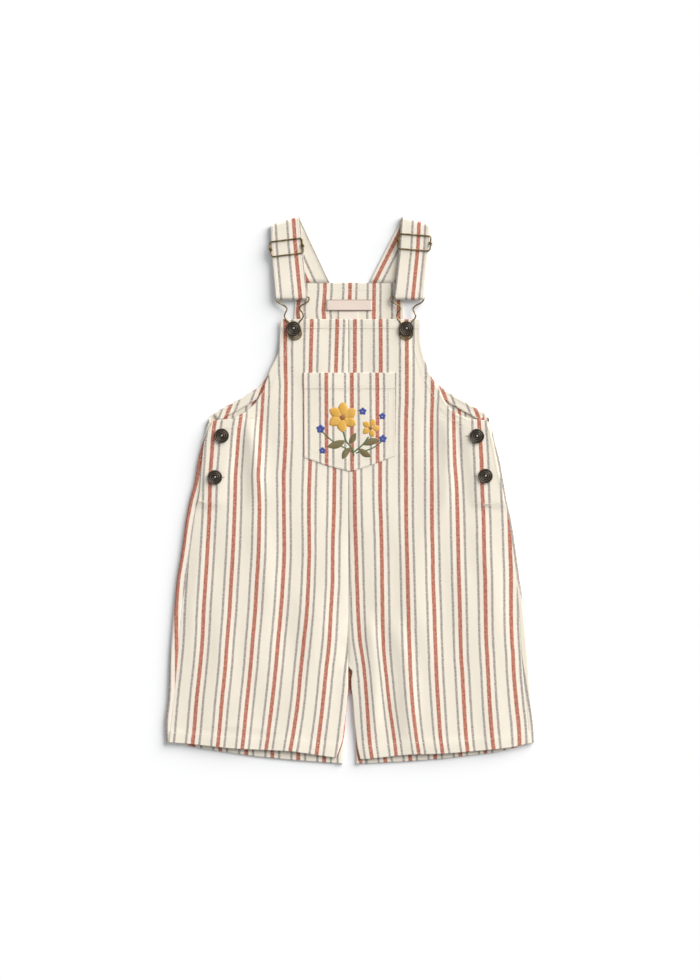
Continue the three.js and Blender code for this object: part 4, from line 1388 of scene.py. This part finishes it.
def back_lines():
    """Stitching that shows on the back: its bib's top, its facings and the edges of its bib above them."""
    lines = []
    level = BACK_LEVEL + CLOTH / 2 + 0.1
    x = np.arange(-54, 52, 1.5)
    lines.append(garment(x, np.full_like(x, BACK_TOP - 6.8), np.full_like(x, level)))
    for side, sign in (("left", -1), ("right", 1)):
        up = np.arange(357, 419, 1.5)
        edge = curved(BACK_EDGE, side, up)
        slope = np.gradient(edge, up)
        length = np.hypot(slope, 1)
        for inset in (2.0, FACING_WIDTH - 1.4):
            x, height = sign * (edge - inset / length), up + inset * slope / length
            lines.append(garment(x, height, np.full_like(x, BACK_LEVEL + SOLID_CLOTH + 0.95)))
        up = np.arange(421, BACK_TOP - 8, 1.5)
        x = sign * (curved(BACK_EDGE, side, up) - 2.0)
        lines.append(garment(x, up, np.full_like(x, level)))
    return lines


def strap_lines():
    """Edge stitching of the straps' upper runs."""
    lines = []
    for side in ("left", "right"):
        shape = STRAPS[side]
        left, right, level = strap_stations(shape)
        start = 14 + 12
        stop = start + 6 + 4 + 11
        for share in (0.06, 0.94):
            pair = left * (1 - share) + right * share
            part = np.column_stack([pair, level])[start:stop]
            lines.append(garment(part[:, 0], part[:, 1], part[:, 2] + STRAP / 2 + 0.2))
            part = np.column_stack([pair, level])[1:12]
            lines.append(garment(part[:, 0], part[:, 1], part[:, 2] + STRAP / 2 + 0.14))
    return lines


def bar_tack_lines():
    """Close stitches of the bar tacks, as short lines side by side."""
    lines = []

    def bars(x, up, across, tall, count, turn=0.0):
        angle = math.radians(turn)
        for k in range(count):
            shift = (k / (count - 1) - 0.5) * across
            ends = []
            for end in (-0.5, 0.0, 0.5):
                dx, dy = shift, end * tall
                px = x + dx * math.cos(angle) - dy * math.sin(angle)
                pu = up + dx * math.sin(angle) + dy * math.cos(angle)
                ends.append((px, pu))
            out, height = np.array(ends).T
            lines.append(garment(out, height, front_level(out, height) + CLOTH / 2 + 0.15))

    bars(-151.0, 267.2, 6.2, 1.6, 9, -6)
    bars(139.6, 263.8, 8.6, 1.5, 12, 4)
    for share, inset in ((0.0, 1.8), (1.0, -1.8)):
        x, up = pocket_point(np.array(share), np.array(0.985))
        bars(float(x) + inset, float(up) - 2, 2.6, 4.0, 4)
    return lines


def buttonhole_lines():
    """Ends of the buttonholes that show beside the buttons."""
    lines = []
    for place, reach in (("left_low", 8.9), ("right_top", -9.2), ("right_low", -9.6)):
        x, up = SIDE_BUTTONS[place]
        for shift in (-0.35, 0.35):
            out, height = np.array([(x + reach - 1.6, up + shift), (x + reach + 0.1, up + shift)]).T
            lines.append(garment(out, height, front_level(out, height) + CLOTH / 2 + 0.1))
    return lines


def petal(centre, length, width, turn, dome, start=0.0, steps=(14, 8), taper=1.0):
    """Domed petal or leaf that lies on the pocket: grid of points, with its own map in mm."""
    along = np.linspace(0, 1, steps[0])[:, None]
    across = np.linspace(-1, 1, steps[1])[None, :]
    half = width / 2 * np.sin(math.pi * np.clip(along, 0.02, 0.98) ** taper) ** 0.75
    bend = 0.12 * length * np.sin(math.pi * along) * (1 if turn % 2 else -1)
    a = start + along * length + 0 * across
    b = across * half + bend * 0.4
    angle = math.radians(turn)
    x = centre[0] + a * math.cos(angle) - b * math.sin(angle)
    up = centre[1] + a * math.sin(angle) + b * math.cos(angle)
    rise = dome * np.sqrt(np.clip(1 - across**2, 0, 1)) * np.sin(math.pi * np.clip(along, 0.03, 0.97)) ** 0.5
    level = pocket_level(x, up) + POCKET_CLOTH / 2 + rise
    return garment(x, up, level), np.stack([a, b], -1)


def make_embroidery(name, petals, material):
    """Raised satin stitch shapes joined in one object, closed underneath."""
    points, faces, maps, start = [], [], [], 0
    for grid, uv in petals:
        rows, columns = grid.shape[:2]
        top = grid.reshape(-1, 3)
        low = top.copy()
        low[:, 2] -= 0.00035
        points += [top, low]
        maps += [uv.reshape(-1, 2)] * 2
        layer = rows * columns
        upper = grid_faces(rows, columns, start)
        lower = grid_faces(rows, columns, start + layer)[:, ::-1]
        rim = rim_of(rows, columns) + start
        after = np.roll(rim, -1)
        band = np.stack([after, rim, rim + layer, after + layer], -1)
        quads = np.concatenate([upper, lower, band])
        p = np.concatenate(points)
        a, b, c = (p[quads[:, k]] for k in (0, 1, 2))
        d = p[quads[:, 3]]
        volume = np.sum(a * np.cross(b, c)) + np.sum(a * np.cross(c, d))
        faces += (quads if volume > 0 else quads[:, ::-1]).tolist()
        start += 2 * layer
    mesh = bpy.data.meshes.new(name)
    mesh.from_pydata(np.concatenate(points).tolist(), [], faces)
    mesh.shade_smooth()
    layer = mesh.uv_layers.new(name="Weave")
    loops = np.empty(len(mesh.loops), int)
    mesh.loops.foreach_get("vertex_index", loops)
    layer.data.foreach_set("uv", np.concatenate(maps).astype(np.float32)[loops].ravel())
    mesh.materials.append(material)
    obj = bpy.data.objects.new(name, mesh)
    bpy.context.scene.collection.objects.link(obj)
    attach(obj, "root")
    return obj


def stem(points, width=1.3, dome=0.35):
    """Narrow satin stitched stem along points on the pocket."""
    points = np.asarray([(x, y, 0) for x, y in points], float)
    line = rounded(points, 40)[:, :2]
    ahead = np.gradient(line, axis=0)
    ahead = ahead / np.linalg.norm(ahead, axis=1, keepdims=True)
    across = np.linspace(-1, 1, 5)[None, :]
    x = line[:, :1] - ahead[:, 1:] * across * width / 2
    up = line[:, 1:] + ahead[:, :1] * across * width / 2
    level = pocket_level(x, up) + POCKET_CLOTH / 2 - 0.03 + dome * np.sqrt(1 - across**2 * 0.999)
    reach = np.linspace(0, 40, 40)[:, None]
    return garment(x, up, level), np.stack(np.broadcast_arrays(reach, across * width / 2), -1)


def material_once(name, make):
    return bpy.data.materials.get(name) or make()


class OverallsSettings(bpy.types.PropertyGroup):
    """Colours, as display values from 0 to 255, and sizes of the cloth and its threads."""

    cream: bpy.props.FloatVectorProperty(
        name="Cream", description="Ground of the canvas", size=3, default=(235, 227, 211), min=0, max=255)
    pale: bpy.props.FloatVectorProperty(
        name="Pale band", description="Band between red and grey",
        size=3, default=(240, 231, 217), min=0, max=255)
    shade: bpy.props.FloatVectorProperty(
        name="Slub", description="Darker yarns in the ground",
        size=3, default=(226, 216, 198), min=0, max=255)
    blush: bpy.props.FloatVectorProperty(
        name="Blush", description="Warmer clouds in the ground",
        size=3, default=(236, 221, 208), min=0, max=255)
    red: bpy.props.FloatVectorProperty(
        name="Red", description="Red stripe", size=3, default=(154, 78, 60), min=0, max=255)
    red_pale: bpy.props.FloatVectorProperty(
        name="Pale red", description="Lighter yarns of the red stripe",
        size=3, default=(202, 134, 112), min=0, max=255)
    grey: bpy.props.FloatVectorProperty(
        name="Grey", description="Grey line", size=3, default=(126, 122, 119), min=0, max=255)
    grey_pale: bpy.props.FloatVectorProperty(
        name="Pale grey", description="Lighter yarns of the grey line",
        size=3, default=(176, 168, 162), min=0, max=255)
    thread: bpy.props.FloatProperty(
        name="Thread", description="Distance between threads of the weave, in millimetres",
        default=0.62, min=0.2)
    rung: bpy.props.FloatProperty(
        name="Rung", description="Distance between the light flecks down the stripes, in millimetres",
        default=1.9, min=0.5)


class StageSettings(bpy.types.PropertyGroup):
    """Light and camera."""

    camera_height: bpy.props.FloatProperty(
        name="Camera height", description="Height of the camera over the garment", default=3.0, unit="LENGTH")
    picture_height: bpy.props.FloatProperty(
        name="Picture height", description="Length that the picture's long side takes in",
        default=0.9996, unit="LENGTH")
    key: bpy.props.FloatProperty(name="Key", description="Strength of the key light", default=5.5)
    key_rise: bpy.props.FloatProperty(
        name="Key rise", description="Angle of the key light over the floor",
        default=math.radians(24), subtype="ANGLE")
    key_turn: bpy.props.FloatProperty(
        name="Key turn", description="Direction of the key light about the garment", default=math.radians(42),
        subtype="ANGLE")
    key_size: bpy.props.FloatProperty(
        name="Key size", description="Angle that the key light fills",
        default=math.radians(52), subtype="ANGLE")
    sky: bpy.props.FloatProperty(name="Sky", description="Strength of the surrounding light", default=0.44)


def canvas():
    return material_once("striped_canvas", lambda: canvas_finish(bpy.context.scene.overalls))


def brass():
    return material_once(
        "antique_brass", lambda: metal_finish("antique_brass", (104, 88, 58), (172, 152, 110), 0.34)
    )


def bronze():
    return material_once(
        # Colours: dark bronze; crest colour, painted highlight and wear on the rings; paler rivet
        "dark_bronze", lambda: button_finish("dark_bronze", (42, 36, 32), (114, 103, 87), (184, 176, 160))
    )


def sewing():
    return material_once(
        "sewing_thread", lambda: thread_finish("sewing_thread", (240, 235, 222), (222, 214, 196))
    )


def dark_thread():
    return material_once("dark_thread", lambda: thread_finish("dark_thread", (128, 118, 106), (94, 86, 78)))


class OVERALLS_OT_stage(bpy.types.Operator):
    """Make the floor, the lights and the camera over the garment"""

    bl_idname = "overalls.stage"
    bl_label = "Stage"

    def execute(self, context):
        scene = context.scene
        settings = scene.overalls_stage
        scene.view_settings.view_transform = "Standard"
        finish = Finish("pale_floor", Roughness=0.9, Specular_IOR_Level=0.1)
        finish.shader.inputs["Base Color"].default_value = (0.89, 0.895, 0.905, 1)
        half = 8.0
        low = -0.0002
        mesh = bpy.data.meshes.new("floor")
        corners = [(-half, -half, low), (half, -half, low), (half, half, low), (-half, half, low)]
        mesh.from_pydata(corners, [], [(0, 1, 2, 3)])
        mesh.materials.append(finish.material)
        floor = bpy.data.objects.new("floor", mesh)
        scene.collection.objects.link(floor)
        world = scene.world or bpy.data.worlds.new("sky")
        scene.world = world
        world.use_nodes = True
        background = next(node for node in world.node_tree.nodes if node.type == "BACKGROUND")
        background.inputs["Color"].default_value = (0.97, 0.985, 1.0, 1)
        background.inputs["Strength"].default_value = settings.sky
        light = bpy.data.lights.new("key", "SUN")
        light.angle = settings.key_size
        light.energy = settings.key
        light.color = (1.0, 0.985, 0.965)
        lamp = bpy.data.objects.new("key", light)
        flat = math.cos(settings.key_rise)
        turn = settings.key_turn
        place = Vector((flat * math.cos(turn), flat * math.sin(turn), math.sin(settings.key_rise)))
        lamp.location = place * 2
        lamp.rotation_euler = (-place).to_track_quat("-Z", "Y").to_euler()
        scene.collection.objects.link(lamp)
        camera = bpy.data.cameras.new("overhead")
        camera.lens = camera.sensor_width * settings.camera_height / settings.picture_height
        camera.clip_end = 50
        rig = bpy.data.objects.new("overhead", camera)
        rig.location = (0, 0, settings.camera_height)
        scene.collection.objects.link(rig)
        scene.camera = rig
        return {"FINISHED"}


class OVERALLS_OT_backs(bpy.types.Operator):
    """Make the two backs, their armhole facings and the labels inside"""

    bl_idname = "overalls.backs"
    bl_label = "Backs"

    def execute(self, context):
        for side in ("left", "right"):
            make_back(side, canvas())
            make_facing(side, canvas())
        neck = ribbon_finish("label_tape", (228, 211, 199), (120, 100, 92), 5.5)
        care = ribbon_finish("care_tape", (233, 223, 211), (150, 132, 122), 10.0)
        make_label("neck_label_tape", NECK_LABEL, "neck_label", neck, 2.0)
        make_label("care_label_tape", CARE_LABEL, "care_label", care, 1.75)
        return {"FINISHED"}


class OVERALLS_OT_fronts(bpy.types.Operator):
    """Make the two fronts and the chest pocket"""

    bl_idname = "overalls.fronts"
    bl_label = "Fronts"

    def execute(self, context):
        for side in ("left", "right"):
            make_front(side, canvas())
        make_pocket(canvas())
        return {"FINISHED"}


class OVERALLS_OT_straps(bpy.types.Operator):
    """Make the straps with their sliders and clips"""

    bl_idname = "overalls.straps"
    bl_label = "Straps"

    def execute(self, context):
        for side in ("left", "right"):
            make_strap(side, canvas())
            make_slider(side, brass())
            make_clip(side, brass())
        return {"FINISHED"}


class OVERALLS_OT_buttons(bpy.types.Operator):
    """Make the tack buttons of the bib and the side openings"""

    bl_idname = "overalls.buttons"
    bl_label = "Buttons"

    def execute(self, context):
        for side, sign in (("left", -1), ("right", 1)):
            x, up = sign * BIB_BUTTON[0], BIB_BUTTON[1]
            make_button("bib_tack_" + side, "bib_button_" + side, x, up, 2 * WIRE + 0.6, bronze())
        for place, (x, up) in SIDE_BUTTONS.items():
            make_button("side_tack_" + place, "side_button_" + place, x, up, 0.7, bronze())
        return {"FINISHED"}


class OVERALLS_OT_sewing(bpy.types.Operator):
    """Lay the topstitching, bar tacks and buttonholes"""

    bl_idname = "overalls.sewing"
    bl_label = "Sewing"

    def execute(self, context):
        tree = stitch_tree("stitches", sewing())
        lay_stitches("front_stitches", front_lines(), tree)
        lay_stitches("pocket_stitches", pocket_lines(), tree)
        lay_stitches("back_stitches", back_lines(), tree)
        lay_stitches("strap_stitches", strap_lines(), tree)
        close = {"Spacing": 1.25, "Length": 1.5, "Radius": 0.28}
        lay_stitches("bar_tacks", bar_tack_lines(), tree, close)
        dark_tree = stitch_tree("buttonhole_stitches", dark_thread())
        fine = {"Spacing": 1.25, "Length": 1.4, "Radius": 0.2}
        lay_stitches("buttonholes", buttonhole_lines(), dark_tree, fine)
        return {"FINISHED"}


class OVERALLS_OT_embroidery(bpy.types.Operator):
    """Embroider a sprig of garden flowers on the pocket"""

    bl_idname = "overalls.embroidery"
    bl_label = "Embroidery"

    def execute(self, context):
        yellow = satin_finish("yellow_silk", (222, 176, 84), (206, 152, 62))
        amber = satin_finish("amber_silk", (160, 108, 56), (132, 84, 42))
        olive = satin_finish("olive_silk", (128, 116, 76), (96, 86, 54))
        green = satin_finish("green_silk", (88, 118, 76), (62, 92, 54))
        blue = satin_finish("blue_silk", (70, 88, 160), (52, 66, 136))
        bloom, bud = (-7.5, 353.0), (21.0, 342.0)
        flower = [petal(bloom, 13.2, 10.6, 90 + 60 * k, 0.55, 2.2) for k in range(6)]
        flower += [petal(bud, 8.0, 6.4, 72 + 72 * k, 0.45, 1.5, (12, 8)) for k in range(5)]
        make_embroidery("yellow_flowers", flower, yellow)
        hearts = [
            petal((bloom[0] - 3.1, bloom[1]), 6.2, 6.2, 0, 0.75),
            petal((bud[0] - 2.1, bud[1]), 4.2, 4.2, 0, 0.6),
        ]
        make_embroidery("flower_hearts", hearts, amber)
        stems = [
            stem([(-7, 338.5), (-4, 329), (2, 321), (4, 313.5)], 1.6),
            stem([(19, 333), (13, 325), (4, 317.5)], 1.6),
            stem([(-28, 338), (-18, 329), (-5, 321.5), (3, 317.5)], 1.3),
            stem([(32, 328), (22, 321), (6, 316.5)], 1.3),
        ]
        make_embroidery("stems", stems, green)
        leaves = [
            petal((-5, 329), 19.0, 8.0, 199, 0.45), petal((0, 322), 14.0, 6.6, 236, 0.4),
            petal((9, 321), 15.0, 6.8, -34, 0.4), petal((-1, 326), 13.0, 6.0, 58, 0.4),
            petal((13, 325), 18.0, 7.2, 15, 0.45),
        ]
        make_embroidery("leaves", leaves, olive)
        blossoms = []
        places = [((-30, 341), 4.2), ((33.5, 331), 3.8), ((13, 359), 3.6), ((33, 354), 3.2), ((-28, 319), 3.2)]
        for centre, size in places:
            blossoms += [petal(centre, size, size * 0.95, 18 + 72 * k, 0.4, 0.4, (10, 7)) for k in range(5)]
        make_embroidery("blue_blossoms", blossoms, blue)
        return {"FINISHED"}


class OVERALLS_PT_panel(bpy.types.Panel):
    """Overalls in the sidebar"""

    bl_label = "Overalls"
    bl_space_type = "VIEW_3D"
    bl_region_type = "UI"
    bl_category = "Overalls"

    def draw(self, context):
        for operator in OPERATORS:
            self.layout.operator(operator.bl_idname)
        for name in OverallsSettings.__annotations__:
            self.layout.prop(context.scene.overalls, name)
        for name in StageSettings.__annotations__:
            self.layout.prop(context.scene.overalls_stage, name)


OPERATORS = (
    OVERALLS_OT_stage, OVERALLS_OT_backs, OVERALLS_OT_fronts, OVERALLS_OT_straps,
    OVERALLS_OT_buttons, OVERALLS_OT_sewing, OVERALLS_OT_embroidery,
)
CLASSES = (OverallsSettings, StageSettings, *OPERATORS, OVERALLS_PT_panel)


def register():
    for cls in CLASSES:
        bpy.utils.register_class(cls)
    bpy.types.Scene.overalls = bpy.props.PointerProperty(type=OverallsSettings)
    bpy.types.Scene.overalls_stage = bpy.props.PointerProperty(type=StageSettings)


def unregister():
    del bpy.types.Scene.overalls_stage
    del bpy.types.Scene.overalls
    for cls in reversed(CLASSES):
        bpy.utils.unregister_class(cls)


def main():
    register()
    for operator in OPERATORS:
        group, name = operator.bl_idname.split(".")
        getattr(getattr(bpy.ops, group), name)()


if __name__ == "__main__":
    main()
